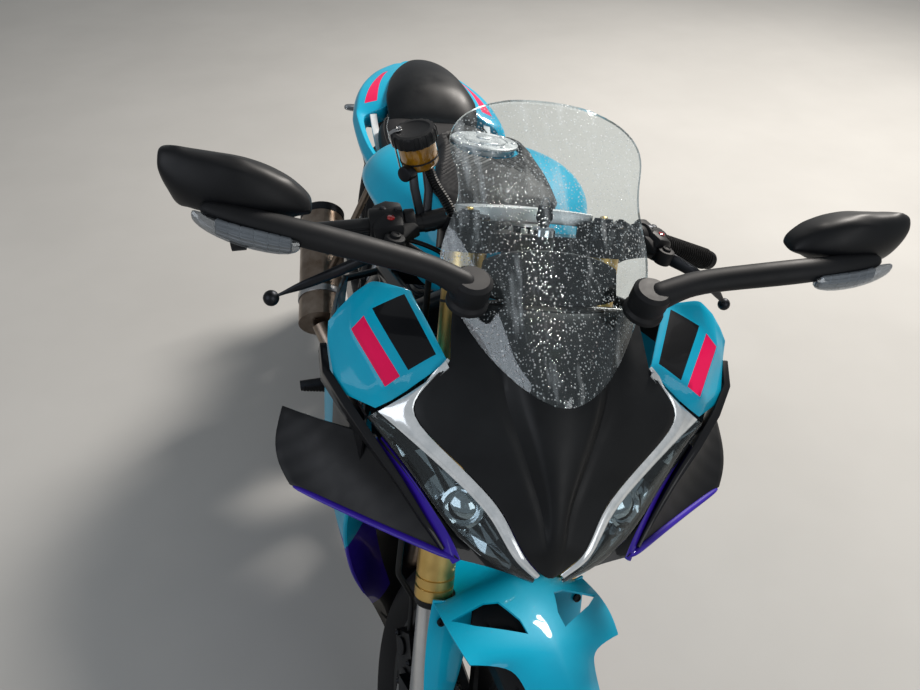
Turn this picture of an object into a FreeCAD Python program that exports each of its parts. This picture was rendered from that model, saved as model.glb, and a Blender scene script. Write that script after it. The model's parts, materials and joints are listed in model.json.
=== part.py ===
import FreeCAD, Part
import math
import os
from FreeCAD import Placement, Rotation, Vector

# Sport bike parked on its side stand, in millimetres.
# The bike is drawn upright: X to its left, Y rearwards from the front axle, Z up from the ground.
# One placement then leans everything onto the side stand, and one moves the origin
# to the floor under the middle of the parked bike.

doc = FreeCAD.newDocument("sport_bike")
sheet = doc.addObject("Spreadsheet::Sheet", "sizes")

SIZES = [
    # alias, value, what it is
    ("wheelbase", 1370, "front axle to rear axle"),
    ("front_radius", 293, "front tyre, outside"),
    ("front_width", 110, "front tyre, across"),
    ("rear_radius", 306, "rear tyre, outside"),
    ("rear_width", 150, "rear tyre, across"),
    ("tyre_wall", 8, "tyre side wall"),
    ("tread_thick", 12, "tyre under its tread"),
    ("front_section", 76, "front tyre above the rim's bead seat"),
    ("rear_section", 89, "rear tyre above the rim's bead seat"),
    ("rim_flange", 9, "rim flange above the bead"),
    ("front_rim_width", 78, "front rim between its flanges"),
    ("rear_rim_width", 104, "rear rim between its flanges"),
    ("rake_deg", 24.5, "steering axis from the vertical"),
    ("trail", 97, "front contact point behind the steering axis"),
    ("lean_deg", 9.6, "lean on the side stand"),
    ("steer_deg", 14, "how far the bars are turned to the left as parked"),
    ("origin_side", 181, "origin, left of the front contact point"),
    ("origin_back", 702, "origin, behind the front axle"),
    ("fork_half", 98, "fork leg from the middle plane"),
    ("outer_tube_radius", 25.5, "gold outer fork tube"),
    ("inner_tube_radius", 20.5, "chrome inner fork tube"),
    ("outer_tube_start", 258, "lower end of the outer tube, along the fork from the axle"),
    ("fork_length", 772, "axle to the top of the outer tube"),
    ("upper_yoke_top", 755, "top face of the upper yoke, along the fork"),
    ("lower_yoke_top", 592, "top face of the lower yoke, along the fork"),
    ("yoke_thick", 22, "plate of either yoke"),
    ("stem_radius", 14, "steering stem"),
    ("stem_bore", 9, "hole through the stem"),
    ("bearing_gap", 0.05, "radial running clearance of a shaft in its bore"),
    ("axle_radius", 10, "front axle"),
    ("rear_axle_radius", 11, "rear axle"),
    ("hub_radius", 29, "wheel hub, outside"),
    ("front_disc_radius", 160, "front brake disc"),
    ("rear_disc_radius", 110, "rear brake disc"),
    ("disc_thick", 5, "either brake disc"),
    ("front_disc_side", -64, "middle of the front disc from the middle plane"),
    ("rear_disc_side", -92, "middle of the rear disc from the middle plane"),
    ("chain_side", 90, "middle of the chain from the middle plane"),
    ("sprocket_radius", 84, "rear sprocket, at its teeth"),
    ("front_sprocket_radius", 30, "front sprocket, at its teeth"),
    ("chain_height", 15, "chain plates"),
    ("chain_width", 17, "chain across its pins"),
    ("pivot_back", 830, "swingarm pivot behind the front axle"),
    ("pivot_high", 400, "swingarm pivot above the ground"),
    ("pivot_radius", 10, "swingarm pivot axle"),
    ("swingarm_inside", 105, "inner face of a swingarm beam from the middle plane"),
    ("swingarm_beam", 24, "swingarm beam across"),
    ("panel_thick", 3, "moulded bodywork"),
    ("screen_thick", 3, "windscreen sheet"),
    ("seat_gap", 0.3, "clearance between pieces that rest on each other"),
    ("frame_tube", 14, "main frame tube, radius"),
    ("rear_frame_tube", 11, "rear frame tube, radius"),
    ("cap_radius", 53, "fuel cap"),
    ("bar_radius", 11, "handlebar tube"),
    ("grip_radius", 16.5, "rubber grip"),
    ("reservoir_radius", 25, "brake fluid pot"),
    ("header_radius", 18, "exhaust header pipe"),
    ("silencer_radius", 52, "silencer"),
    ("stand_leg_radius", 10, "side stand leg"),
    ("stand_reach", 236, "stand foot, left of the front contact point"),
    ("stand_foot_back", 655, "stand foot behind the front axle"),
    ("bobbin_hole", 4, "threaded hole for a paddock stand bobbin, radius"),
    ("bobbin_depth", 14, "threaded hole for a paddock stand bobbin, depth"),
]
for row, (alias, value, note) in enumerate(SIZES, start=1):
    sheet.set("A%d" % row, note)
    sheet.set("B%d" % row, str(value))
    sheet.setAlias("B%d" % row, alias)
doc.recompute()
s = {alias: float(sheet.get(alias)) for alias, value, note in SIZES}

X = Vector(1, 0, 0)
Y = Vector(0, 1, 0)
Z = Vector(0, 0, 1)
ORIGIN = Vector(0, 0, 0)
GAP = s["seat_gap"]
nodes = {}


# Small shape helpers

def move(x=0, y=0, z=0):
    return Placement(Vector(x, y, z), Rotation())


def turn(axis, degrees, about=ORIGIN):
    return Placement(ORIGIN, Rotation(axis, degrees), about)


def outline(points):
    return Part.makePolygon(list(points) + [points[0]])


def slab(points, along):
    """A flat outline pushed along a vector."""
    return Part.Face(outline(points)).extrude(along)


def side_slab(points, x_low, x_high):
    """An outline of (y, z) pairs as a plate from x_low to x_high."""
    return slab([Vector(x_low, y, z) for y, z in points], Vector(x_high - x_low, 0, 0))


def loft(wires):
    return Part.makeLoft(wires, True, True)


def rod(start, end, radius, hole=0):
    run = end - start
    solid = Part.makeCylinder(radius, run.Length, start, run)
    if hole:
        solid = solid.cut(Part.makeCylinder(hole, run.Length, start, run))
    return solid


def cross_rod(x_low, x_high, y, z, radius, hole=0):
    return rod(Vector(x_low, y, z), Vector(x_high, y, z), radius, hole)


def bent_tube(points, radius, bend):
    """A round tube along straight runs joined by arcs of one bend radius."""
    edges = []
    last = points[0]
    for before, corner, after in zip(points, points[1:], points[2:]):
        inward = (before - corner).normalize()
        onward = (after - corner).normalize()
        half = inward.getAngle(onward) / 2
        back = bend / math.tan(half)
        first = corner + inward * back
        second = corner + onward * back
        middle_way = (inward + onward).normalize()
        middle = corner + middle_way * (bend / math.sin(half) - bend)
        edges.append(Part.LineSegment(last, first).toShape())
        edges.append(Part.Arc(first, middle, second).toShape())
        last = second
    edges.append(Part.LineSegment(last, points[-1]).toShape())
    ring = Part.Wire(Part.makeCircle(radius, points[0], points[1] - points[0]))
    return Part.Wire(edges).makePipeShell([ring], True, False)


def mirrored(shape):
    return shape.mirror(ORIGIN, X)


def pair(shape):
    """The piece on the bike's left and its mirror image on the right, not touching."""
    return Part.makeCompound([shape, mirrored(shape)])


def fused(shapes):
    return shapes[0].multiFuse(shapes[1:]).removeSplitter()


def both_sides(shape):
    """A piece and its mirror image, as a list to fuse."""
    return [shape, mirrored(shape)]


def without(shape, others):
    """The shape with its neighbours' room cut out of it, so that faces meet and nothing overlaps."""
    for other in others:
        shape = shape.cut(other)
    return shape


def biggest(shape):
    return max(shape.Solids, key=lambda solid: solid.Volume)


def circle_through(a, b, c):
    circle = Part.Arc(a, b, c).toShape().Curve
    return circle.Center, circle.Radius


def bowed_row(edge, crown, thick):
    """One section of a curved sheet: an arc from edge over crown to the mirrored edge, thick inwards."""
    left = Vector(-edge.x, edge.y, edge.z)
    centre, radius = circle_through(left, crown, edge)
    shrink = (radius - thick) / radius
    inner = [centre + (p - centre) * shrink for p in (edge, crown, left)]
    return Part.Wire([
        Part.Arc(left, crown, edge).toShape(),
        Part.LineSegment(edge, inner[0]).toShape(),
        Part.Arc(*inner).toShape(),
        Part.LineSegment(inner[2], left).toShape()])


def domed_row(y, base_half, base_z, side_half, side_z, top_z):
    """One upright section of a solid form: flat base, leaning sides and an arc over the top."""
    corners = [Vector(side_half, y, side_z), Vector(base_half, y, base_z),
               Vector(-base_half, y, base_z), Vector(-side_half, y, side_z)]
    edges = [Part.LineSegment(a, b).toShape() for a, b in zip(corners, corners[1:])]
    edges.append(Part.Arc(corners[3], Vector(0, y, top_z), corners[0]).toShape())
    return Part.Wire(edges)


def panel(rows, thick):
    """A sheet of flat facets over a grid of points, with its wall behind it.

    Rows run down the sheet and points run to the bike's left, so thick goes inwards."""
    high, wide = len(rows), len(rows[0])
    inner = []
    for i in range(high):
        inner.append([])
        for j in range(wide):
            down = rows[min(i + 1, high - 1)][j] - rows[max(i - 1, 0)][j]
            across = rows[i][min(j + 1, wide - 1)] - rows[i][max(j - 1, 0)]
            inner[i].append(rows[i][j] - down.cross(across).normalize() * thick)
    faces = []

    def quad(a, b, c, d, turned_over=False):
        for corners in ([a, b, c], [a, c, d]):
            faces.append(Part.Face(outline(corners[::-1] if turned_over else corners)))

    for i in range(high - 1):
        for j in range(wide - 1):
            for grid, outer in ((rows, True), (inner, False)):
                quad(grid[i][j], grid[i][j + 1], grid[i + 1][j + 1], grid[i + 1][j], outer)
        for j in (0, wide - 1):
            quad(rows[i][j], inner[i][j], inner[i + 1][j], rows[i + 1][j], j > 0)
    for j in range(wide - 1):
        for i in (0, high - 1):
            quad(rows[i][j], inner[i][j], inner[i][j + 1], rows[i][j + 1], i == 0)
    shell = Part.makeShell(faces)
    shell.sewShape()
    solid = Part.makeSolid(shell)
    solid.fix(0.001, 0.001, 0.001)
    return solid


# How the bike stands

RAKE = math.radians(s["rake_deg"])
# The bike is drawn with its axles at these heights. Other tyres raise or pitch it as a whole.
FRONT_HIGH, REAR_HIGH = 293.0, 306.0
FORK_OFFSET = FRONT_HIGH * math.sin(RAKE) - s["trail"] * math.cos(RAKE)
# Along the fork: the axle at zero, the legs parallel to Z, the steering axis FORK_OFFSET behind them.
FORK = Placement(Vector(0, 0, FRONT_HIGH), Rotation(X, -s["rake_deg"]))
STEER = FORK.multiply(turn(Z, s["steer_deg"], Vector(0, FORK_OFFSET, 0))).multiply(FORK.inverse())
FRONT_AXLE = move(z=FRONT_HIGH)
REAR_AXLE = move(y=s["wheelbase"], z=REAR_HIGH)


def crown_of(width, radius):
    """Height and radius of the round tread of a tyre."""
    high = 0.28 * width
    half = width / 2
    return high, (half * half + high * high) / (2 * high)


def lowest(centre, axle, radius, crown):
    return centre.z - (radius - crown) * math.sqrt(1 - axle.z ** 2) - crown


def lean_placement():
    """Leaned, raised and pitched until both tyres just touch the ground."""
    wheels = [
        (STEER.multVec(FRONT_AXLE.Base), STEER.Rotation.multVec(X), s["front_radius"],
         crown_of(s["front_width"], s["front_radius"])[1]),
        (REAR_AXLE.Base, X, s["rear_radius"], crown_of(s["rear_width"], s["rear_radius"])[1])]
    high = 0.0
    pitch = 0.0
    for step in range(8):
        place = Placement(Vector(0, 0, high), Rotation(X, pitch).multiply(Rotation(Y, s["lean_deg"])))
        front, rear = [
            lowest(place.multVec(centre), place.Rotation.multVec(axle), radius, crown)
            for centre, axle, radius, crown in wheels]
        high -= front
        pitch += math.degrees((front - rear) / s["wheelbase"])
    return place


LEAN = lean_placement()
HOME = move(-s["origin_side"], -s["origin_back"], 0)
PARKED = HOME.multiply(LEAN)
TURNED = PARKED.multiply(STEER)
ALONG_FORK = TURNED.multiply(FORK)


def add(label, shape, place=PARKED):
    node = doc.addObject("Part::Feature", label)
    node.Label = label
    node.Shape = shape
    node.Placement = place
    nodes[label] = node
    return shape


# Wheels: each is drawn about its own axle, which runs along X

def tyre_body(label, radius_name, section_name, width_name, rim_width_name, place):
    """A tyre turned from one sketch: round tread, bulging sides and the beads on the rim."""
    radius, width, rim_width = s[radius_name], s[width_name], s[rim_width_name]
    high, crown = crown_of(width, radius)
    seat = radius - s[section_name]
    bead = seat + GAP
    half, foot = width / 2, rim_width / 2 - GAP
    lip = seat + s["rim_flange"] + 1
    shoulder = radius - high
    side_mid = (shoulder + lip) / 2
    body = doc.addObject("PartDesign::Body", label)
    body.Label = label
    sketch = body.newObject("Sketcher::SketchObject", label + "_profile")
    plane = [o for o in body.Origin.OriginFeatures if o.Role == "XY_Plane"][0]
    sketch.AttachmentSupport = [(plane, "")]
    sketch.MapMode = "FlatFace"
    left, right = Vector(-half, shoulder, 0), Vector(half, shoulder, 0)
    left_foot, right_foot = Vector(-foot, bead, 0), Vector(foot, bead, 0)
    right_lip, left_lip = Vector(foot, lip, 0), Vector(-foot, lip, 0)
    bulge = (half + foot) / 2 + 0.06 * width
    wall = s["tyre_wall"]
    inside = [Vector(half - wall, shoulder, 0), Vector(bulge - wall - 1, side_mid, 0),
              Vector(foot - wall, lip, 0), Vector(foot - wall, bead, 0)]
    inside_left = [Vector(-p.x, p.y, 0) for p in inside]
    tread = Vector(0, radius - s["tread_thick"], 0)
    sketch.addGeometry(Part.Arc(left, Vector(0, radius, 0), right), False)
    sketch.addGeometry(Part.Arc(right, Vector(bulge, side_mid, 0), right_lip), False)
    sketch.addGeometry(Part.LineSegment(right_lip, right_foot), False)
    sketch.addGeometry(Part.LineSegment(right_foot, inside[3]), False)
    sketch.addGeometry(Part.LineSegment(inside[3], inside[2]), False)
    sketch.addGeometry(Part.Arc(inside[2], inside[1], inside[0]), False)
    sketch.addGeometry(Part.Arc(inside[0], tread, inside_left[0]), False)
    sketch.addGeometry(Part.Arc(inside_left[0], inside_left[1], inside_left[2]), False)
    sketch.addGeometry(Part.LineSegment(inside_left[2], inside_left[3]), False)
    sketch.addGeometry(Part.LineSegment(inside_left[3], left_foot), False)
    sketch.addGeometry(Part.LineSegment(left_foot, left_lip), False)
    sketch.addGeometry(Part.Arc(left_lip, Vector(-bulge, side_mid, 0), left), False)
    turned = body.newObject("PartDesign::Revolution", label + "_turned")
    turned.Profile = sketch
    turned.ReferenceAxis = (sketch, ["H_Axis"])
    turned.Angle = 360
    body.Tip = turned
    body.Placement = place
    nodes[label] = body


def rim_shape(seat, rim_width, hub_low, hub_high, bore, side_room):
    """A cast rim with five forked spokes, its hub bored for the axle."""
    half = rim_width / 2
    flange, well = seat + s["rim_flange"], seat - 12
    profile = [(-half - 4, flange), (-half, flange), (-half + 0.1, seat), (-half * 0.6, seat),
               (-half * 0.35, well), (half * 0.35, well), (half * 0.6, seat), (half - 0.1, seat),
               (half, flange), (half + 4, flange), (half + 4, seat - 6), (half * 0.5, well - 7),
               (-half * 0.5, well - 7), (-half - 4, seat - 6)]
    barrel = Part.Face(outline([Vector(x, r, 0) for x, r in profile])).revolve(ORIGIN, X, 360)
    hub = cross_rod(hub_low, hub_high, 0, 0, s["hub_radius"])
    spokes = []
    for number in range(5):
        for fan in (-11, 11):
            foot_angle = math.radians(number * 72)
            head_angle = math.radians(number * 72 + fan)
            foot = Vector(0, math.cos(foot_angle), math.sin(foot_angle)) * 22
            head = Vector(0, math.cos(head_angle), math.sin(head_angle)) * (well - 4)
            across = (head - foot).cross(X).normalize()
            wires = []
            for point, deep, wide in ((foot, side_room, 13), (head, side_room * 0.7, 8)):
                corners = [X * deep + across * wide * 0.6, X * (deep - 5) + across * wide,
                           X * (5 - deep) + across * wide, X * -deep + across * wide * 0.6,
                           X * -deep - across * wide * 0.6, X * (5 - deep) - across * wide,
                           X * (deep - 5) - across * wide, X * deep - across * wide * 0.6]
                wires.append(outline([point + c for c in corners]))
            spokes.append(loft(wires))
    rim = fused([barrel, hub] + spokes)
    return rim.cut(cross_rod(hub_low, hub_high, 0, 0, bore))


def disc_body(label, radius_name, side_name, hub_hole, holes, place):
    """A brake disc padded from a sketch, with a ring of lightening slots patterned round it."""
    body = doc.addObject("PartDesign::Body", label)
    body.Label = label
    plane = [o for o in body.Origin.OriginFeatures if o.Role == "YZ_Plane"][0]
    ring = body.newObject("Sketcher::SketchObject", label + "_ring")
    ring.AttachmentSupport = [(plane, "")]
    ring.MapMode = "FlatFace"
    for radius in (s[radius_name], hub_hole):
        ring.addGeometry(Part.Circle(ORIGIN, Z, radius), False)
    pad = body.newObject("PartDesign::Pad", label + "_plate")
    pad.Profile = ring
    pad.SideType = "Symmetric"
    pad.setExpression("Length", "sizes.disc_thick")
    cut = body.newObject("Sketcher::SketchObject", label + "_slot")
    cut.AttachmentSupport = [(plane, "")]
    cut.MapMode = "FlatFace"
    low, high = hub_hole + 14, s[radius_name] - 38
    wide = math.pi * (low + high) / 2 / holes * 0.62
    corners = [Vector(-wide * 0.7, low, 0), Vector(-wide, high, 0),
               Vector(wide, high, 0), Vector(wide * 0.7, low, 0)]
    for a, b in zip(corners, corners[1:] + corners[:1]):
        cut.addGeometry(Part.LineSegment(a, b), False)
    doc.recompute()
    slot = body.newObject("PartDesign::Pocket", label + "_window")
    slot.Profile = cut
    slot.Type = "ThroughAll"
    slot.SideType = "Symmetric"
    pattern = body.newObject("PartDesign::PolarPattern", label + "_windows")
    pattern.Originals = [slot]
    pattern.Axis = (ring, ["N_Axis"])
    pattern.Angle = 360
    pattern.Occurrences = holes
    body.Tip = pattern
    body.Placement = place.multiply(move(x=s[side_name]))
    nodes[label] = body


front_wheel = TURNED.multiply(FRONT_AXLE)
rear_wheel = PARKED.multiply(REAR_AXLE)
tyre_body("front_tyre", "front_radius", "front_section", "front_width", "front_rim_width", front_wheel)
tyre_body("rear_tyre", "rear_radius", "rear_section", "rear_width", "rear_rim_width", rear_wheel)
FRONT_HUB = (s["front_disc_side"] - 4, 60)
REAR_HUB = (s["rear_disc_side"] - 6, s["chain_side"] + 7)
DISC_HOLE = s["hub_radius"] + GAP
FRONT_BORE, REAR_BORE = s["axle_radius"] + s["bearing_gap"], s["rear_axle_radius"] + s["bearing_gap"]
FRONT_SEAT, REAR_SEAT = s["front_radius"] - s["front_section"], s["rear_radius"] - s["rear_section"]
add("front_rim", rim_shape(FRONT_SEAT, s["front_rim_width"], *FRONT_HUB, FRONT_BORE, 26), front_wheel)
add("rear_rim", rim_shape(REAR_SEAT, s["rear_rim_width"], *REAR_HUB, REAR_BORE, 36), rear_wheel)
disc_body("front_disc", "front_disc_radius", "front_disc_side", DISC_HOLE, 9, front_wheel)
disc_body("rear_disc", "rear_disc_radius", "rear_disc_side", DISC_HOLE, 7, rear_wheel)


def sprocket_shape(tip, teeth, low, high, hole):
    """A chain wheel: trapezoid teeth round a plate, bored to sit on its hub."""
    points = []
    for tooth in range(teeth):
        for part, radius in ((0.0, tip - 5), (0.25, tip), (0.45, tip), (0.7, tip - 5)):
            angle = (tooth + part) * 2 * math.pi / teeth
            points.append(Vector(low, radius * math.cos(angle), radius * math.sin(angle)))
    plate = slab(points, X * (high - low))
    return plate.cut(cross_rod(low, high, 0, 0, hole))


SPROCKET_LOW, SPROCKET_HIGH = s["chain_side"] - 3, s["chain_side"] + 3
sprocket = sprocket_shape(s["sprocket_radius"], 36, SPROCKET_LOW, SPROCKET_HIGH, DISC_HOLE)
for number in range(6):
    angle = math.radians(number * 60)
    sprocket = sprocket.cut(
        cross_rod(SPROCKET_LOW, SPROCKET_HIGH, 54 * math.cos(angle), 54 * math.sin(angle), 15))
add("rear_sprocket", sprocket, rear_wheel)

# Front end: drawn along the fork, with the axle at zero and the legs parallel to Z

HALF = s["fork_half"]
OUTER = s["outer_tube_radius"]
INNER = s["inner_tube_radius"]
STEM = s["stem_radius"]


def leg(side, low, high, radius, hole=0):
    return rod(Vector(side, 0, low), Vector(side, 0, high), radius, hole)


outer_tube = leg(HALF, s["outer_tube_start"], s["fork_length"], OUTER, INNER + GAP)
outer_tube = outer_tube.fuse(leg(HALF, s["lower_yoke_top"] + 8, s["fork_length"], OUTER))
for start, high in ((0, 16), (24, 6), (36, 6)):
    base = s["outer_tube_start"] + start
    outer_tube = outer_tube.fuse(leg(HALF, base, base + high, OUTER + 2.5, OUTER - 1))
add("fork_outer_tubes", pair(outer_tube.removeSplitter()), ALONG_FORK)

FOOT_TOP = 112
FOOT_RADIUS = INNER + 4.5
foot = [
    leg(HALF, 18, FOOT_TOP, FOOT_RADIUS),
    cross_rod(HALF - 22, HALF + 22, 0, 0, 23),
    slab([Vector(HALF - 14, -17, 0), Vector(HALF - 14, 17, 0), Vector(HALF - 14, 20, 40),
          Vector(HALF - 14, -20, 40)], Vector(28, 0, 0))]
foot = fused(foot).cut(cross_rod(0, HALF * 2, 0, 0, s["axle_radius"]))
chrome = leg(HALF, FOOT_TOP, s["outer_tube_start"] + 70, INNER)
add("fork_inner_tubes", pair(chrome), ALONG_FORK)
add("fork_feet", pair(foot), ALONG_FORK)

SPACER = 15
axle = fused([
    cross_rod(-HALF - 26, HALF + 26, 0, 0, s["axle_radius"]),
    cross_rod(FRONT_HUB[1] + GAP, HALF - 22, 0, 0, SPACER),
    cross_rod(-HALF + 22, FRONT_HUB[0] - GAP, 0, 0, SPACER),
    cross_rod(HALF + 22, HALF + 30, 0, 0, SPACER),
    cross_rod(-HALF - 30, -HALF - 22, 0, 0, SPACER)])
add("front_axle", axle, ALONG_FORK)


def yoke(top, thick, round_leg, stem_back):
    """A yoke plate: an outline between the two legs, rounded round the stem, clamped on the tubes."""
    half_plan = [(24, stem_back), (HALF * 0.55, FORK_OFFSET + 12), (HALF + round_leg, 14),
                 (HALF + round_leg, -10), (HALF + 10, -OUTER - 6), (HALF * 0.5, -8)]
    plan = half_plan + [(-x, y) for x, y in half_plan[::-1]]
    plate = slab([Vector(x, y, top - thick) for x, y in plan], Vector(0, 0, thick))
    for side in (HALF, -HALF):
        plate = plate.fuse(leg(side, top - thick, top, OUTER + 9))
        plate = plate.cut(leg(side, top - thick, top, OUTER))
    return plate


UPPER = s["upper_yoke_top"]
LOWER = s["lower_yoke_top"]
THICK = s["yoke_thick"]
upper_yoke = yoke(UPPER, THICK, OUTER + 8, FORK_OFFSET + 30)
lower_yoke = yoke(LOWER, THICK + 8, OUTER + 8, FORK_OFFSET + 26)
stem_foot = Vector(0, FORK_OFFSET, LOWER - THICK - 8)
stem_head = Vector(0, FORK_OFFSET, UPPER + 8)
lower_yoke = lower_yoke.fuse(rod(stem_foot, stem_head, STEM))
lower_yoke = lower_yoke.cut(rod(stem_foot, stem_head, s["stem_bore"]))
upper_yoke = upper_yoke.cut(rod(stem_foot, stem_head, STEM))
stem_nut = rod(Vector(0, FORK_OFFSET, UPPER), stem_head, STEM + 5, STEM)
lock_barrel = rod(Vector(0, -12, UPPER - THICK - 12), Vector(0, -12, UPPER + 6), 15)
add("upper_yoke", fused([upper_yoke.fuse(lock_barrel), stem_nut]), ALONG_FORK)
add("lower_yoke", lower_yoke, ALONG_FORK)

# Handlebars, drawn straight ahead in the bike's own frame

def on_fork(x, y, z):
    return FORK.multVec(Vector(x, y, z))


GRIP_IN = Vector(212, 340, 963)
GRIP_OUT = Vector(345, 369, 924)
BAR_RUN = (GRIP_OUT - GRIP_IN).normalize()
BAR_TOP = s["fork_length"]
bar_start = GRIP_IN - BAR_RUN * 78
clamp = rod(on_fork(HALF, 0, UPPER + GAP), on_fork(HALF, 0, BAR_TOP - 1), OUTER + 8, OUTER)
bar_root = rod(on_fork(HALF + OUTER + 3, 4, UPPER + 15), bar_start + BAR_RUN * 14, 12)
bar = rod(bar_start, GRIP_OUT, s["bar_radius"])
weight = rod(GRIP_OUT + BAR_RUN * GAP, GRIP_OUT + BAR_RUN * 16, 14)
bar_set = fused([clamp, bar_root, bar, weight.fuse(rod(GRIP_OUT, GRIP_OUT + BAR_RUN, s["bar_radius"]))])
bar_set = bar_set.cut(rod(on_fork(HALF, 0, UPPER), on_fork(HALF, 0, BAR_TOP), OUTER))
add("handlebars", pair(bar_set), TURNED)
grip = rod(GRIP_IN, GRIP_OUT, s["grip_radius"], s["bar_radius"])
add("grips", pair(grip), TURNED)

HOUSING_END = GRIP_IN - BAR_RUN * 1
HOUSING_START = GRIP_IN - BAR_RUN * 40
housing = rod(HOUSING_START, HOUSING_END, 21, s["bar_radius"])
box = slab([HOUSING_START + Vector(0, -30, -12), HOUSING_START + Vector(0, 24, -12),
            HOUSING_START + Vector(0, 18, 18), HOUSING_START + Vector(0, -24, 16)], BAR_RUN * 30)
box = box.cut(rod(HOUSING_START - BAR_RUN * 20, HOUSING_END, s["bar_radius"]))
housing = housing.fuse(box)

PIVOT = Vector(196, 296, 968)
BALL = Vector(330, 280, 902)
perch_root = HOUSING_START - BAR_RUN * 14
perch = rod(perch_root, perch_root + BAR_RUN * 13, 17, s["bar_radius"])
perch = fused([perch, rod(perch_root + Vector(4, -16, 2), PIVOT, 9), rod(PIVOT - Z * 9, PIVOT + Z * 9, 11)])
perch = perch.cut(rod(perch_root - BAR_RUN * 5, perch_root + BAR_RUN * 30, s["bar_radius"]))
add("switch_housings", pair(fused([housing, perch])), TURNED)
blade_in = PIVOT + Vector(11, -2, 0)
knee = PIVOT + Vector(52, -24, -14)
blade = fused([
    loft([outline([p + Vector(0, -w, -4), p + Vector(0, w, -4), p + Vector(0, w, 4), p + Vector(0, -w, 4)])
          for p, w in ((blade_in, 9), (knee, 8))]),
    loft([outline([p + Vector(0, -w, -4), p + Vector(0, w, -4), p + Vector(0, w, 4), p + Vector(0, -w, 4)])
          for p, w in ((knee, 8), (BALL, 5))]),
    Part.makeSphere(9, BALL)])
blade = blade.cut(rod(PIVOT - Z * 12, PIVOT + Z * 12, 11 + GAP))
add("levers", pair(blade), TURNED)

POT = s["reservoir_radius"]
pot_low = Vector(-163, 357, 1038)
pot_up = Vector(-24, 3, 50).normalize()
pot = rod(pot_low, pot_low + pot_up * 30, POT)
pot_cap = rod(pot_low + pot_up * 30, pot_low + pot_up * 48, POT + 3)
pot_arm = fused([rod(pot_low - pot_up * 10, pot_low, 8), rod(pot_low - pot_up * 8, Vector(-150, 324, 980), 7)])
add("brake_reservoir", without(fused([pot, pot_cap, pot_arm]), [mirrored(bar_set)]), TURNED)


# Front brake: a caliper astride the disc behind the right leg, and its hose

disc_low, disc_high = s["front_disc_side"] - s["disc_thick"] / 2, s["front_disc_side"] + s["disc_thick"] / 2
caliper = slab([Vector(disc_low - 22, 52, 62), Vector(disc_low - 22, 104, 78), Vector(disc_low - 22, 132, 150),
                Vector(disc_low - 22, 84, 168), Vector(disc_low - 22, 60, 120)], X * 44)
caliper = caliper.cut(cross_rod(disc_low - 2, disc_high + 2, 0, 0, s["front_disc_radius"] + 3))
lug = slab([Vector(-HALF - 5, 18, 60), Vector(-HALF - 5, 70, 80), Vector(-HALF - 5, 76, 112),
            Vector(-HALF - 5, 18, 108)], X * 26)
lug = lug.cut(leg(-HALF, 0, 200, FOOT_RADIUS))
add("front_caliper", caliper.fuse(lug), ALONG_FORK)

HOSE = 4
hose = bent_tube([
    Vector(disc_low - 12, 104, 160), Vector(disc_low - 12, 104, 215), Vector(-HALF - 41, 28, 300),
    Vector(-HALF - 41, 16, 520), Vector(-HALF - 41, 10, 690), Vector(-HALF - 48, -6, 716)], HOSE, 26)
hose = hose.cut(caliper)
add("brake_hose", hose, ALONG_FORK)


# Front fender: a crown strip over the tyre, a broad saddle and two guards in front of the fork legs

def fender_arc(half, radius, drop, start_deg, end_deg, thick):
    """A strip of folded section turned about the axle; angles run from the top towards the front."""
    outer = [(-half, radius - drop), (-half * 0.55, radius), (half * 0.55, radius), (half, radius - drop)]
    inner = [(x * (half - thick) / half, r - thick) for x, r in outer[::-1]]
    strip = Part.Face(outline([Vector(x, 0, r) for x, r in outer + inner]))
    strip.rotate(ORIGIN, X, start_deg)
    return strip.revolve(ORIGIN, X, end_deg - start_deg)


FENDER = s["front_radius"] + 16
SHELL = s["panel_thick"]
crown_strip = fender_arc(64, FENDER, 34, -56, 54, SHELL)
saddle = fender_arc(106, FENDER, 56, -17, 20, SHELL)
guard = slab([Vector(x, -INNER - 10 - SHELL, z) for x, z in (
    (70, FENDER - 13), (106, FENDER - 17), (118, 200), (112, 108), (92, 92), (84, 170))], Vector(0, SHELL, 0))
boss = rod(Vector(HALF, -INNER - 11, 100), Vector(HALF, -INNER - 5 - GAP, 100), 7)
guards = both_sides(guard.fuse(boss))
for piece in guards:
    piece.Placement = FRONT_AXLE.inverse().multiply(FORK).multiply(piece.Placement)
vent_way = Vector(0, -math.sin(math.radians(9)), math.cos(math.radians(9)))
vent_plan = [Vector(60, -62, 240), Vector(66, -6, 240), Vector(97, -22, 240), Vector(94, -58, 240)]
vent = slab(vent_plan, vent_way * 120)
fender = fused([crown_strip, saddle] + guards)
fender = without(fender, both_sides(vent))
add("front_fender", fender, TURNED.multiply(FRONT_AXLE))


# Frame, drawn in the bike's own frame

def in_bike(shape):
    """A shape drawn along the fork, placed in the bike's frame."""
    piece = shape.copy()
    piece.Placement = FORK.multiply(piece.Placement)
    return piece


TUBE = s["frame_tube"]
PIVOT_Y, PIVOT_Z = s["pivot_back"], s["pivot_high"]
BEAM_IN = s["swingarm_inside"]
BEAM_OUT = BEAM_IN + s["swingarm_beam"]
PLATE_IN = BEAM_OUT + 1
PLATE_OUT = PLATE_IN + 12
PLATE_MID = (PLATE_IN + PLATE_OUT) / 2
head_low, head_high = LOWER + GAP, UPPER - THICK - GAP
head_tube = rod(Vector(0, FORK_OFFSET, head_low), Vector(0, FORK_OFFSET, head_high), 27)
stem_room = rod(Vector(0, FORK_OFFSET, head_low - 5), Vector(0, FORK_OFFSET, head_high + 5),
                STEM + s["bearing_gap"])
upper_run = [on_fork(20, FORK_OFFSET + 10, 700), Vector(104, 440, 768), Vector(126, 640, 712),
             Vector(PLATE_MID, 790, 545)]
lower_run = [on_fork(20, FORK_OFFSET + 8, 622), Vector(112, 420, 700), Vector(124, 560, 700)]
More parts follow.
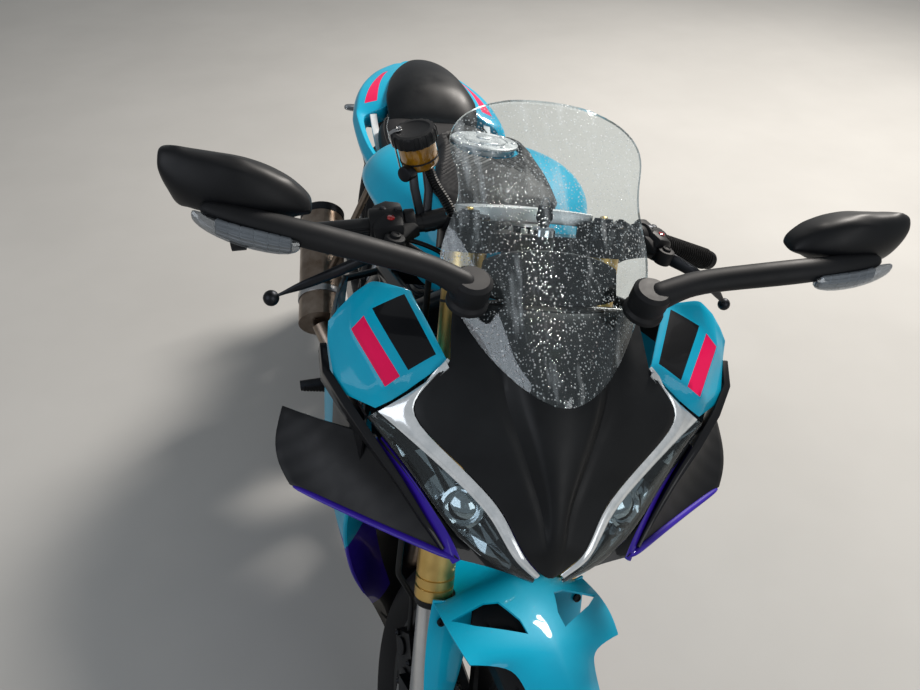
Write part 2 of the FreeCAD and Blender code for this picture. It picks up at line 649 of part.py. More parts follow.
brace_run = [Vector(108, 430, 762), Vector(112, 424, 704)]
pivot_plate = side_slab(
    [(690, 500), (700, 440), (772, 300), (856, 296), (872, 420), (818, 575), (772, 566)], PLATE_IN, PLATE_OUT)
frame_side = [
    bent_tube(upper_run, TUBE, 60), bent_tube(lower_run, TUBE - 1, 40), rod(*brace_run, TUBE - 3),
    rod(Vector(122, 556, 700), Vector(126, 640, 712), TUBE - 2), pivot_plate]
# The tank rests on a flat bar between the spars.
TANK_LOW = 744
tank_bar = side_slab([(592, 716), (628, 716), (628, TANK_LOW - GAP), (592, TANK_LOW - GAP)], -122, 122)
cross_pieces = [cross_rod(-PLATE_IN - 2, PLATE_IN + 2, 800, 545, 12), tank_bar]
frame = cross_pieces
for piece in frame_side:
    frame += both_sides(piece)
swing_bore = cross_rod(-PLATE_OUT - 5, PLATE_OUT + 5, PIVOT_Y, PIVOT_Z, s["pivot_radius"])
frame = without(fused(frame), [in_bike(head_tube), in_bike(stem_room), swing_bore])

REAR_TUBE = s["rear_frame_tube"]
rear_side = [
    bent_tube([Vector(122, 690, 688), Vector(100, 850, 745), Vector(86, 1040, 752), Vector(50, 1362, 799)],
              REAR_TUBE, 60),
    bent_tube([Vector(PLATE_MID, 812, 556), Vector(96, 1000, 700), Vector(88, 1060, 742)], REAR_TUBE - 1, 40)]
rear_frame = [cross_rod(-90, 90, 1000, 750, 9), cross_rod(-54, 54, 1340, 796, 9),
              cross_rod(-104, 104, 846, 742, 9)]
for piece in rear_side:
    rear_frame += both_sides(piece)
rear_frame = fused(rear_frame)


# Engine: one heavy block of crankcase, leaning cylinders and round side covers

crankcase = side_slab([(432, 300), (714, 300), (714, 452), (640, 486), (440, 470)], -112, 112)
sump = side_slab([(440, 310), (470, 236), (660, 236), (690, 310)], -64, 64)
gearbox = side_slab([(700, 320), (812, 350), (806, 440), (700, 452)], -70, 70)
cylinders = side_slab([(446, 466), (412, 640), (432, 684), (560, 690), (600, 470)], -92, 92)
left_cover = cross_rod(110, 128, 560, 356, 76)
right_cover = cross_rod(-132, -110, 604, 362, 80)
SPROCKET_AT = (772, 395)
front_sprocket = sprocket_shape(s["front_sprocket_radius"], 14, SPROCKET_LOW, SPROCKET_HIGH, 8)
front_sprocket.translate(Vector(0, *SPROCKET_AT))
engine = fused([crankcase, sump, gearbox, cylinders, left_cover, right_cover, front_sprocket,
                cross_rod(68, SPROCKET_HIGH + 6, *SPROCKET_AT, 14)])
engine_bolts = [cross_rod(-PLATE_IN - 2, PLATE_IN + 2, 716, 462, 9), cross_rod(-118, 118, 470, 694, 9)]
add("engine", engine)
frame = without(frame.multiFuse(engine_bolts + [rear_frame]), [engine])

radiator = slab([Vector(-150, 326, 452), Vector(-150, 356, 446), Vector(-150, 362, 690), Vector(-150, 332, 696)],
                X * 300)
radiator_tabs = rod(Vector(118, 350, 680), Vector(114, 424, 700), 6)
add("radiator", without(fused([radiator] + both_sides(radiator_tabs)), [frame]))

PIPE = s["header_radius"]
headers = [bent_tube([
    Vector(x, 430, 600), Vector(x, 384, 590), Vector(x, 384, 260), Vector(x * 0.7, 470, 206),
    Vector(x * 0.7, 560, 206)], PIPE, 30) for x in (-46, 46)]
collector = slab([Vector(-60, 540, 190), Vector(60, 540, 190), Vector(60, 540, 228), Vector(-60, 540, 228)],
                 Y * 170)
SILENCER_START, SILENCER_END = Vector(-196, 1000, 330), Vector(-196, 1285, 452)
link = bent_tube(
    [Vector(-30, 700, 208), Vector(-40, 800, 210), Vector(-150, 930, 270), SILENCER_START], PIPE + 4, 50)
silencer = rod(SILENCER_START, SILENCER_END, s["silencer_radius"])
silencer = silencer.cut(rod(SILENCER_END - (SILENCER_END - SILENCER_START) * 0.2, SILENCER_END, 22))
hanger = rod(Vector(-184, 1100, 400), Vector(-92, 1056, 735), 8)
exhaust = fused(headers + [collector, link, silencer, hanger])
add("exhaust", without(exhaust, [engine, frame]))


# Rear suspension and final drive

AXLE_Y, AXLE_Z = s["wheelbase"], REAR_HIGH
beam = side_slab([
    (806, 376), (806, 424), (900, 428), (AXLE_Y - 50, 336), (AXLE_Y + 32, 330), (AXLE_Y + 32, 282),
    (AXLE_Y - 50, 276), (900, 368)], BEAM_IN, BEAM_OUT)
swingarm = fused(both_sides(beam) + [
    cross_rod(-BEAM_OUT, BEAM_OUT, PIVOT_Y, PIVOT_Z, 20),
    side_slab([(900, 346), (900, 394), (990, 386), (990, 346)], -BEAM_IN - 1, BEAM_IN + 1)])
swingarm = without(swingarm, [
    swing_bore, cross_rod(-BEAM_OUT, BEAM_OUT, AXLE_Y, AXLE_Z, s["rear_axle_radius"])])
add("swingarm", swingarm)
BOBBIN = (AXLE_Y - 80, AXLE_Z)
BOBBIN_END = BEAM_OUT + s["bobbin_depth"] + 2
boss = cross_rod(BEAM_OUT, BOBBIN_END, *BOBBIN, 13)
add("bobbin_bosses", pair(boss.cut(cross_rod(BEAM_OUT + 2, BOBBIN_END, *BOBBIN, s["bobbin_hole"]))))
pivot_axle = cross_rod(-PLATE_OUT - 6, PLATE_OUT + 6, PIVOT_Y, PIVOT_Z, s["pivot_radius"] - 0.02)
pivot_nut = cross_rod(PLATE_OUT, PLATE_OUT + 6, PIVOT_Y, PIVOT_Z, 16)
pivot_axle = fused([pivot_axle] + both_sides(pivot_nut))

rear_axle = fused([
    cross_rod(-BEAM_OUT - 14, BEAM_OUT + 14, 0, 0, s["rear_axle_radius"]),
    cross_rod(REAR_HUB[1] + GAP, BEAM_IN, 0, 0, 17),
    cross_rod(-BEAM_IN, REAR_HUB[0] - GAP, 0, 0, 17),
    cross_rod(BEAM_OUT, BEAM_OUT + 9, 0, 0, 17),
    cross_rod(-BEAM_OUT - 9, -BEAM_OUT, 0, 0, 17)])
rear_axle.translate(REAR_AXLE.Base)
add("rear_axles", Part.makeCompound([rear_axle, pivot_axle]))


def belt(front_radius, rear_radius, x_low, x_high):
    """The filled outline round both sprockets, pushed from x_low to x_high."""
    front, rear = Vector(x_low, *SPROCKET_AT), Vector(x_low, AXLE_Y, AXLE_Z)
    run = rear - front
    lift = math.asin((rear_radius - front_radius) / run.Length)
    along = run.normalize()
    up = X.cross(along)
    edges = []
    corners = []
    for sign in (1, -1):
        way = up * (sign * math.cos(lift)) - along * math.sin(lift)
        corners.append((front + way * front_radius, rear + way * rear_radius))
    edges.append(Part.LineSegment(corners[0][0], corners[0][1]).toShape())
    edges.append(Part.Arc(corners[0][1], rear + along * rear_radius, corners[1][1]).toShape())
    edges.append(Part.LineSegment(corners[1][1], corners[1][0]).toShape())
    edges.append(Part.Arc(corners[1][0], front - along * front_radius, corners[0][0]).toShape())
    return Part.Face(Part.Wire(edges)).extrude(X * (x_high - x_low))


CHAIN_IN = 0.5
chain_low, chain_high = s["chain_side"] - s["chain_width"] / 2, s["chain_side"] + s["chain_width"] / 2
tall = s["chain_height"]
small, large = s["front_sprocket_radius"] + CHAIN_IN, s["sprocket_radius"] + CHAIN_IN
chain = belt(small + tall, large + tall, chain_low, chain_high).cut(belt(small, large, chain_low, chain_high))
groove = belt(small + tall, large + tall, s["chain_side"] - 4, s["chain_side"] + 4).cut(
    belt(small + tall - 3, large + tall - 3, s["chain_side"] - 4, s["chain_side"] + 4))
add("chain", chain.cut(groove))

shock_low, shock_high = Vector(0, 944, 394), Vector(0, 850, 640)
shock_way = (shock_high - shock_low).normalize()
shock = fused([
    rod(shock_low - shock_way * 6, shock_high, 12),
    rod(shock_low + shock_way * 40, shock_high - shock_way * 40, 30),
    cross_rod(-94, 94, 850, 640, 9)])
posts = rod(Vector(94, 850, 640), Vector(PLATE_MID - 4, 806, 548), 9)
shock = fused([shock] + both_sides(posts))
add("rear_shock", without(shock, [swingarm, frame]))

caliper_side = s["rear_disc_side"]
CALIPER = [(-80, 352), (-25, 392), (-18, 420), (-70, 424), (-98, 380)]
STAY = [(-88, 330), (-40, 326), (-40, 372), (-88, 372)]
rear_caliper = side_slab([(AXLE_Y + y, z) for y, z in CALIPER], caliper_side - 12, caliper_side + 12)
disc_room = cross_rod(caliper_side - 5, caliper_side + 5, AXLE_Y, AXLE_Z, s["rear_disc_radius"] + 3)
rear_caliper = rear_caliper.cut(disc_room)
caliper_stay = side_slab([(AXLE_Y + y, z) for y, z in STAY], -BEAM_IN - 6, caliper_side - 8)
add("rear_caliper", without(fused([rear_caliper, caliper_stay]), [swingarm]))


# Footrests on the frame plates

hanger_plate = side_slab([(786, 470), (850, 470), (876, 330), (846, 300), (790, 306), (776, 350)],
                         PLATE_OUT + 6 + GAP, PLATE_OUT + 13)
hanger_plate = hanger_plate.cut(cross_rod(0, 200, PIVOT_Y, PIVOT_Z, 18))
spacer_bush = [cross_rod(PLATE_OUT, PLATE_OUT + 8, y, z, 9) for y, z in ((800, 452), (800, 330), (846, 330))]
peg = rod(Vector(PLATE_OUT + 10, 804, 330), Vector(243, 800, 312), 11)
pedal = bent_tube([Vector(PLATE_OUT + 20, 812, 322), Vector(PLATE_OUT + 20, 760, 300),
                   Vector(PLATE_OUT + 20, 692, 296)], 6, 20)
toe = cross_rod(PLATE_OUT + 18, PLATE_OUT + 52, 692, 296, 8)
pedal_link = cross_rod(PLATE_OUT + 12, PLATE_OUT + 22, 812, 322, 9)
footrest = fused([hanger_plate] + spacer_bush + [peg, pedal, toe, pedal_link])
add("footrests", pair(footrest))


# Tank and seat: domed sections set one behind the other

TANK = [
    # y, base half, base z, side half, side z, top z
    (424, 62, 790, 78, 872, 916),
    (486, 84, 758, 140, 884, 944),
    (610, 92, TANK_LOW, 186, 888, 960),
    (720, 88, 752, 166, 862, 934),
    (802, 80, 770, 104, 816, 858),
    (832, 74, 782, 84, 800, 824)]
tank = loft([domed_row(*row) for row in TANK])
CAP_Y = 628
cap_seat = Vector(0, CAP_Y, 951)
cap_way = Vector(0, -0.04, 1).normalize()
cap = fused([rod(cap_seat, cap_seat + cap_way * 14, s["cap_radius"] - 8),
             rod(cap_seat + cap_way * 8, cap_seat + cap_way * 14, s["cap_radius"])])
cover_rows = [(y, base, low, side + 5, high + 1, top + 6) for y, base, low, side, high, top in TANK[:4]]
cover = loft([domed_row(*row) for row in cover_rows])
half_cover = [(58, 424), (92, 500), (74, 600), (72, 655), (40, 700)]
cover_plan = slab([Vector(x, y, 850) for x, y in half_cover + [(-x, y) for x, y in half_cover[::-1]]], Z * 200)
cover = cover.common(cover_plan).cut(tank)
cover = without(cover, [rod(cap_seat - cap_way * 40, cap_seat + cap_way * 40, s["cap_radius"] + 2)])
tank = without(tank, [rod(cap_seat, cap_seat + cap_way * 60, s["cap_radius"] - 8)])
add("fuel_tank", without(tank, [frame]))
add("fuel_cap", without(cap, [tank]))
add("tank_cover", cover)

SEAT = [
    (834, 66, 757, 84, 794, 814),
    (900, 84, 757, 112, 792, 808),
    (1000, 88, 760, 122, 796, 812),
    (1056, 84, 762, 112, 800, 822)]
add("rider_seat", without(loft([domed_row(*row) for row in SEAT]), [frame]))
HUMP = [
    (1058, 84, 780, 92, 806, 822),
    (1111, 84, 782, 96, 826, 866),
    (1190, 78, 788, 88, 834, 876),
    (1270, 58, 796, 66, 836, 866),
    (1328, 26, 806, 32, 832, 848)]
hump = loft([domed_row(*row) for row in HUMP])
add("seat_hump", without(hump, [frame]))

# Tail: a hollow cyan loop each side of the seat, joined behind the hump
TAIL_IN = [(98, 862, 776), (140, 930, 786), (158, 1100, 798), (146, 1220, 810), (104, 1330, 816), (44, 1408, 812)]
TAIL_WIDE, TAIL_TALL = 10, 34
band_wires = []
for x, y, z in TAIL_IN:
    band_wires.append(outline([Vector(x - TAIL_WIDE, y, z), Vector(x, y, z + 5), Vector(x + 5, y, z - 12),
                               Vector(x - 4, y, z - TAIL_TALL), Vector(x - TAIL_WIDE - 4, y, z - TAIL_TALL)]))
band = loft(band_wires)
skirt = panel([
    [Vector(122, 880, 712), Vector(126, 880, 744)], [Vector(132, 960, 716), Vector(142, 960, 756)],
    [Vector(136, 1100, 734), Vector(154, 1100, 766)], [Vector(122, 1220, 760), Vector(142, 1220, 780)],
    [Vector(78, 1340, 778), Vector(98, 1340, 790)]], SHELL)
tail_end = loft([
    outline([Vector(-half, y, low), Vector(half, y, low), Vector(half + 6, y, high), Vector(-half - 6, y, high)])
    for y, half, low, high in ((1322, 72, 776, 812), (1396, 44, 784, 812), (1442, 22, 794, 808))])
tail = [tail_end]
for piece in (band, skirt):
    tail += both_sides(piece)
tail = without(fused(tail), [frame, hump])
add("tail_fairing", tail)
lamp = loft([outline([Vector(-half, y, low), Vector(half, y, low), Vector(half, y, high), Vector(-half, y, high)])
             for y, half, low, high in ((1372, 48, 770, 783), (1440, 26, 781, 793))])
add("tail_lamp", without(lamp, [tail, frame]))


def behind_tyre(extra, degrees):
    """A point as far beyond the rear tyre as asked, at an angle above the level."""
    reach, angle = s["rear_radius"] + extra, math.radians(degrees)
    return AXLE_Y + reach * math.cos(angle), AXLE_Z + reach * math.sin(angle)


plate_arm = side_slab([
    (1330, 786), (1400, 786), behind_tyre(92, 61.8), behind_tyre(108, 45.3), behind_tyre(92, 42.5),
    behind_tyre(49, 61.5), (1372, 736)], -22, 22)
PLATE_TOP, PLATE_FOOT = behind_tyre(127, 49.7), behind_tyre(82, 35.6)
plate_back = slab([Vector(-88, *PLATE_TOP), Vector(88, *PLATE_TOP), Vector(88, *PLATE_FOOT),
                   Vector(-88, *PLATE_FOOT)], Vector(0, -5, -2))
STALK_Y, STALK_Z = behind_tyre(70, 58.5)
stalk = rod(Vector(20, STALK_Y, STALK_Z), Vector(94, STALK_Y, STALK_Z), 6)
plate_holder = fused([plate_arm, plate_back] + both_sides(stalk))
add("plate_holder", without(plate_holder, [frame, tail, lamp]))
FLASHER = [(-12, -11), (12, -11), (12, 11), (-12, 11)]
flasher = loft([
    outline([Vector(x, STALK_Y + y * narrow, STALK_Z + z) for y, z in FLASHER]) for x, narrow in ((94, 1), (146, 0.5))])
rear_flashers = [piece.cut(plate_holder) for piece in both_sides(flasher)]

# Front bodywork. Named lines are shared by the pieces that meet there; all are on the bike's left.
# From the top inner end round the outer corner and down to the nose.
NOSE_EDGE = [Vector(118, 138, 914), Vector(165, 106, 863), Vector(63, 28, 806), Vector(36, -14, 771),
             Vector(10, -21, 744)]
STRIP_EDGE = [Vector(122, 136, 905), Vector(192, 117, 855), Vector(74, 27, 797), Vector(45, -14, 762),
              Vector(16, -21, 737)]
LAMP_EDGE = [Vector(200, 118, 846), Vector(108, 23, 765), Vector(62, -10, 746), Vector(18, -20, 731)]
nose_rows = [
    # half width outline from the middle to the left edge, row by row from the screen down
    [Vector(0, 168, 962), Vector(44, 172, 962), Vector(78, 186, 958), Vector(112, 200, 950)],
    [Vector(0, 76, 912), Vector(36, 92, 914), Vector(64, 108, 908), NOSE_EDGE[0]],
    [Vector(0, 36, 872), Vector(30, 50, 876), Vector(52, 62, 868), NOSE_EDGE[1]],
    [Vector(0, 8, 822), Vector(14, 12, 826), Vector(26, 20, 818), NOSE_EDGE[2]],
    [Vector(0, -14, 780), Vector(8, -15, 782), Vector(16, -14, 779), NOSE_EDGE[3]],
    [Vector(0, -22, 742), Vector(3, -22, 742), Vector(6, -21.6, 743), NOSE_EDGE[4]]]
full_rows = [[Vector(-p.x, p.y, p.z) for p in row[:0:-1]] + row for row in nose_rows]
nose = panel(full_rows, SHELL)
add("nose_cowl", nose)


def band_between(inner_line, outer_line):
    """A strip of sheet from one line to another, set 1 mm off the piece beyond the inner line."""
    return panel([[a + (b - a).normalize(), b] for a, b in zip(inner_line, outer_line)], SHELL)


strip = band_between(NOSE_EDGE, STRIP_EDGE)
lens = band_between(STRIP_EDGE[1:], LAMP_EDGE)
add("headlights", Part.makeCompound(both_sides(strip) + both_sides(lens)))

PANEL_HIGH = [Vector(163, 223, 948), Vector(206, 216, 955), Vector(249, 206, 909)]
PANEL_LOW = [a + (b - a).normalize() * GAP for a, b in zip(STRIP_EDGE[:2], PANEL_HIGH)] + [Vector(238, 150, 852)]
upper = panel([PANEL_HIGH, PANEL_LOW], SHELL)
upper = without(upper, [nose, strip, lens])
add("upper_panels", pair(upper))

SEAM = [Vector(146, 262, 330), Vector(160, 330, 330), Vector(165, 440, 330), Vector(160, 560, 330),
        Vector(150, 650, 330)]
side_rows = [
    # from the seam with the belly pan upwards, station by station towards the rear
    [SEAM[0], Vector(186, 225, 470), Vector(205, 172, 610), Vector(204, 124, 730), Vector(206, 122, 843)],
    [SEAM[1], Vector(214, 310, 500), Vector(231, 300, 640), Vector(240, 240, 760), Vector(247, 196, 868)],
    [SEAM[2], Vector(213, 430, 500), Vector(229, 420, 640), Vector(234, 400, 760), Vector(236, 330, 850)],
    [SEAM[3], Vector(195, 560, 470), Vector(206, 560, 600), Vector(210, 540, 700), Vector(208, 490, 800)],
    [SEAM[4], Vector(172, 680, 430), Vector(180, 690, 520), Vector(184, 680, 600), Vector(188, 640, 690)]]
side = panel(side_rows, SHELL)
side = without(side, [upper, lens, strip])
side_stay = rod(Vector(126, 640, 712), Vector(196, 620, 700), 6)
side_stay_front = rod(Vector(112, 424, 704), Vector(232, 410, 700), 6)
add("side_fairings", pair(without(side, [side_stay, side_stay_front])))

BELLY_DEEP = [196, 156, 148, 152]
belly_rows = []
for point, deep in zip(SEAM[1:], BELLY_DEEP):
    half = [Vector(0, point.y, deep), Vector(point.x * 0.66, point.y, deep + 32),
            Vector(point.x, point.y, point.z - GAP)]
    belly_rows.append([Vector(-p.x, p.y, p.z) for p in half[:0:-1]] + half)
belly = without(panel(belly_rows, SHELL), both_sides(side))
add("belly_pan", belly)

# Windscreen: bowed sections from its tip up to its top edge
SCREEN = [
    # edge point on the left, crown in the middle
    (Vector(26, 76, 911), Vector(0, 69, 912)),
    (Vector(88, 151, 934), Vector(0, 112, 950)),
    (Vector(132, 232, 976), Vector(0, 176, 1004)),
    (Vector(106, 273, 1052), Vector(0, 246, 1060)),
    (Vector(124, 331, 1086), Vector(0, 312, 1098)),
    (Vector(66, 374, 1122), Vector(0, 378, 1128))]
screen = loft([bowed_row(edge, crown, s["screen_thick"]) for edge, crown in SCREEN])
add("windscreen", screen)

# Cockpit: the dark inner tray behind the screen, the display and the stay that carries the front bodywork
tray = panel([
    [Vector(-112, 200, 949), Vector(-44, 172, 961), Vector(44, 172, 961), Vector(112, 200, 949)],
    [Vector(-120, 218, 942), Vector(-60, 214, 950), Vector(60, 214, 950), Vector(120, 218, 942)]], SHELL)
display = slab([Vector(-78, 196, 958), Vector(78, 196, 958), Vector(78, 220, 1004), Vector(-78, 220, 1004)],
               Vector(0, 12, -6))
stay_bar = fused([rod(on_fork(0, FORK_OFFSET - 20, 690), Vector(0, 210, 932), 11),
                  cross_rod(-104, 104, 210, 938, 8)])
steering_head = without(fused([in_bike(head_tube), stay_bar]), [nose, tray, in_bike(stem_room)])
add("head_tube", steering_head)
tray = without(tray, [nose, screen])
add("cockpit_tray", tray)
add("display", without(display, [tray, screen]))

# Winglets: a flat blade each side with a thick outer end plate
WING = [Vector(98, 2, 742), Vector(283, 135, 721), Vector(290, 206, 760), Vector(196, 120, 815)]
wing = panel([[WING[3], WING[2]], [WING[0], WING[1]]], 5)
wing = without(wing, [side, lens, upper, strip])
add("winglets", pair(wing))

# Mirrors: an arm from the cowl, a faceted shell, its glass and a clear flasher in the arm
ARM_FOOT = Vector(104, 172, 968)
arm_rows = [
    # middle of the arm, half height, half depth
    (Vector(104, 164, 990), 19, 17), (Vector(160, 176, 1012), 12, 15), (Vector(284, 166, 1042), 15, 15),
    (Vector(392, 184, 1054), 9, 10)]
arm_wires = []
for middle, tall_half, deep_half in arm_rows:
    arm_wires.append(outline([middle + Vector(0, y, z) for y, z in (
        (-deep_half, -tall_half * 0.3), (-deep_half * 0.3, tall_half), (deep_half, tall_half * 0.6),
        (deep_half, -tall_half * 0.7), (0, -tall_half))]))
mirror_arm = fused([loft(arm_wires), rod(ARM_FOOT, Vector(104, 164, 1006), 22)])
mirror_arm = biggest(without(mirror_arm, [nose, screen, tray]))
flasher_front = loft([outline([Vector(x, y + dy, z + dz) for dy, dz in (
    (-1, 10), (-3, -8), (10, -12), (12, 6))]) for x, y, z in ((290, 150, 1042), (386, 172, 1052))])
flasher_front = flasher_front.cut(mirror_arm)
add("flashers", Part.makeCompound(both_sides(flasher_front) + rear_flashers))
SHELL_ROWS = [
    # x, front y, rear y, bottom z, top z
    (278, 186, 226, 1046, 1062), (300, 174, 236, 1046, 1084), (340, 172, 244, 1050, 1100),
    (396, 184, 250, 1056, 1104), (426, 206, 244, 1074, 1094)]
shell_wires = []
for x, front, rear, low, high in SHELL_ROWS:
    mid = (low + high) / 2
    shell_wires.append(outline([Vector(x, front, mid), Vector(x, (front * 2 + rear) / 3, high - 3),
                                Vector(x, rear, high), Vector(x, rear, low), Vector(x, front + 8, low)]))
mirror_shell = loft(shell_wires)
glass_wires = [outline([Vector(x, rear - 3, low + 3), Vector(x, rear + 1, low + 3), Vector(x, rear + 1, high - 3),
                        Vector(x, rear - 3, high - 3)]) for x, front, rear, low, high in SHELL_ROWS[1:4]]
mirror_glass = loft(glass_wires)
mirror_body = without(fused([mirror_arm, mirror_shell]), [mirror_glass, flasher_front])
add("mirrors", pair(mirror_body))
add("mirror_glasses", pair(mirror_glass))


# Side stand: drawn where the parked bike stands, its foot flat on the ground

STAND_PIVOT = Vector(112, 690, 262)
pivot_at = LEAN.multVec(STAND_PIVOT)
foot_at = Vector(s["stand_reach"], s["stand_foot_back"], 0)
FOOT_THICK = 6
FOLDED = Vector(0.17, 0.98, 0.1).normalize()
leg_way = (foot_at - pivot_at).normalize()
folded_way = LEAN.Rotation.multVec(FOLDED)
stand_axis = leg_way.cross(folded_way).normalize()
stand_swing = math.degrees(leg_way.getAngle(folded_way))
BOSS = s["stand_leg_radius"] + 1
pin = 6
boss_low, boss_high = pivot_at - stand_axis * BOSS, pivot_at + stand_axis * BOSS
leg_end = foot_at + Vector(0, 0, FOOT_THICK + 4)
PAD = [(-24, -18), (-14, -28), (22, -28), (34, -12), (34, 18), (18, 30), (-18, 26)]
pad = slab([foot_at + Vector(x, y, 0) for x, y in PAD], Z * FOOT_THICK)
stand = fused([rod(boss_low, boss_high, 17), rod(pivot_at, leg_end, s["stand_leg_radius"]), pad,
               rod(foot_at + Vector(0, 0, 1), leg_end, s["stand_leg_radius"] + 3)])
stand = stand.cut(rod(boss_low, boss_high, pin + s["bearing_gap"]))
add("side_stand", stand, HOME)
stub_low = pivot_at - stand_axis * (BOSS + 30)
to_bike = LEAN.inverse()
bracket = fused([
    rod(stub_low, boss_low - stand_axis * GAP, 16), rod(stub_low, boss_high + stand_axis * 8, pin),
    rod(boss_high + stand_axis * GAP, boss_high + stand_axis * 8, 11)])
bracket.Placement = to_bike.multiply(bracket.Placement)
arm_root = to_bike.multVec(pivot_at - stand_axis * (BOSS + 28))
ELBOW = Vector(84, 760, 300)
bracket = fused([bracket, rod(arm_root, ELBOW, 12), Part.makeSphere(12, ELBOW),
                 rod(ELBOW, Vector(PLATE_MID, 790, 328), 12)])
whole_frame = frame.multiFuse([bracket] + both_sides(side_stay) + both_sides(side_stay_front))
add("frame", without(whole_frame.removeSplitter(), [engine]))


doc.recompute()
problems = 0
for label, node in nodes.items():
    shape = node.Shape
    good = not shape.isNull() and shape.isValid() and "Invalid" not in node.State and "Error" not in node.State
    if not good or not shape.Solids:
        problems += 1
        print("not a valid solid:", label)
if problems:
    raise SystemExit("some pieces are not valid solids")

os.makedirs("parts", exist_ok=True)
whole = Part.makeCompound([node.Shape for node in nodes.values()])
box = whole.optimalBoundingBox(False)
print("box", [round(v, 1) for v in (box.XMin, box.YMin, box.ZMin, box.XMax, box.YMax, box.ZMax)])
print("centre", round((box.XMin + box.XMax) / 2, 1), round((box.YMin + box.YMax) / 2, 1))
for label, node in nodes.items():
    node.Shape.exportStep("parts/%s.step" % label)
    print(label, len(node.Shape.Solids), round(node.Shape.Volume / 1000, 1), "cm3")


def report(name, vector):
    print(name, [round(v, 5) for v in vector])


report("steering point", TURNED.multVec(on_fork(0, FORK_OFFSET, UPPER)))
report("steering axis", ALONG_FORK.Rotation.multVec(Z))
report("front wheel centre", front_wheel.Base)
report("front wheel axis", front_wheel.Rotation.multVec(X))
report("rear wheel centre", rear_wheel.Base)
report("rear wheel axis", rear_wheel.Rotation.multVec(X))
report("stand pivot", HOME.multVec(pivot_at))
report("stand axis", stand_axis)
print("stand swing", round(stand_swing, 2))
report("fork direction", ALONG_FORK.Rotation.multVec(Z))
report("stem bore middle", ALONG_FORK.multVec((stem_foot + stem_head) / 2))
report("lean x", PARKED.Rotation.multVec(X))
for sign in (1, -1):
    report("bobbin hole end", PARKED.multVec(Vector(sign * BOBBIN_END, *BOBBIN)))
plate_down = Vector(0, *PLATE_FOOT) - Vector(0, *PLATE_TOP)
report("plate face middle", PARKED.multVec((Vector(0, *PLATE_FOOT) + Vector(0, *PLATE_TOP)) / 2))
report("plate face normal", PARKED.Rotation.multVec(Vector(0, -plate_down.z, plate_down.y)))
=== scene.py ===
# %% [markdown]
# A sport bike leaning on its side stand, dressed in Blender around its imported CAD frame.
# The frame fixes every size. This lesson adds what the eye looks for: creased panels, a wet clear
# screen, ribbed and stitched surfaces, bolts, chain links, grooved tyres and a procedural finish
# for each material. Each step first says what the real piece is, then how it is made.

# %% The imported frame
import bpy
import json
import math
import random
from mathutils import Matrix, Vector


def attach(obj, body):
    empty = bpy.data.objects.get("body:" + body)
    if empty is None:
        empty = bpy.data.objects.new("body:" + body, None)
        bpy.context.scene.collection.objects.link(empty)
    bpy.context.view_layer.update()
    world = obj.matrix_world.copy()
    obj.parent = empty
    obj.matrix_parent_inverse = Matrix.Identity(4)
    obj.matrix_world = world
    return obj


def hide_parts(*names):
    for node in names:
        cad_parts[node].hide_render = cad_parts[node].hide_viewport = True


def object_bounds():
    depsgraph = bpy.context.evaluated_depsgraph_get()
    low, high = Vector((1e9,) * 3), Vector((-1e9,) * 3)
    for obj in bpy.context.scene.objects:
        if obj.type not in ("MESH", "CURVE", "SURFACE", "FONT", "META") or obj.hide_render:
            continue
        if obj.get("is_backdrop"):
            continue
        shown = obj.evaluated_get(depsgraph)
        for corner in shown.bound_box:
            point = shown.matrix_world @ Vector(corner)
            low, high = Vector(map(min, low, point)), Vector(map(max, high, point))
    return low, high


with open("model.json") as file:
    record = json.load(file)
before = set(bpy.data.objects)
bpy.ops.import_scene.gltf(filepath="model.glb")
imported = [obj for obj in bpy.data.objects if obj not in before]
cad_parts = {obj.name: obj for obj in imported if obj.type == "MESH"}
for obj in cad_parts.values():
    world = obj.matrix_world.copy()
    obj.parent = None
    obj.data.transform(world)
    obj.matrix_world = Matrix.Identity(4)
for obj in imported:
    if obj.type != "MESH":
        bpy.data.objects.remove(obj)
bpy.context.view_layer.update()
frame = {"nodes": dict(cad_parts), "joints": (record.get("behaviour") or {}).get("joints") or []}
NODES = frame["nodes"]
JOINTS = {joint["name"]: joint for joint in frame["joints"]}

# %% [markdown]
# The bike leans 9.6 degrees and its bars are turned, so pieces drawn straight in the room would be
# awkward. They are drawn upright in millimetres instead, with X to the bike's left, Y rearwards from
# the front axle and Z up from the ground, and one matrix then carries a finished mesh to its place.
# The matrix comes from the joints: the rear axle gives X, the steering axis gives Y and Z.

# %% The bike's own frame, in millimetres
RAKE = math.radians(24.5)
WHEELBASE, FRONT_HIGH, REAR_HIGH = 1370.0, 293.0, 306.0
LEFT = Vector(JOINTS["rear_wheel_spin"]["axis"]).normalized()
STEER_AXIS = Vector(JOINTS["steering_turn"]["axis"]).normalized()
STEER_POINT = Vector(JOINTS["steering_turn"]["pos_m"])
square = LEFT.cross(STEER_AXIS)
BACK = (STEER_AXIS * math.sin(RAKE) - square * math.cos(RAKE)).normalized()
UP = LEFT.cross(BACK)
rear_axle = Vector(JOINTS["rear_wheel_spin"]["pos_m"])
ground = rear_axle - BACK * WHEELBASE * 0.001 - UP * REAR_HIGH * 0.001
PARKED = Matrix((LEFT, BACK, UP)).transposed().to_4x4()
PARKED.translation = ground
PARKED = PARKED @ Matrix.Scale(0.001, 4)
STEER_TURN = math.radians(14)
TURNED = (Matrix.Translation(STEER_POINT) @ Matrix.Rotation(STEER_TURN, 4, STEER_AXIS)
          @ Matrix.Translation(-STEER_POINT) @ PARKED)
FORK_FRAME = Matrix.Translation((0, 0, FRONT_HIGH)) @ Matrix.Rotation(-RAKE, 4, "X")
ALONG_FORK = TURNED @ FORK_FRAME
FRONT_WHEEL = TURNED @ Matrix.Translation((0, 0, FRONT_HIGH))
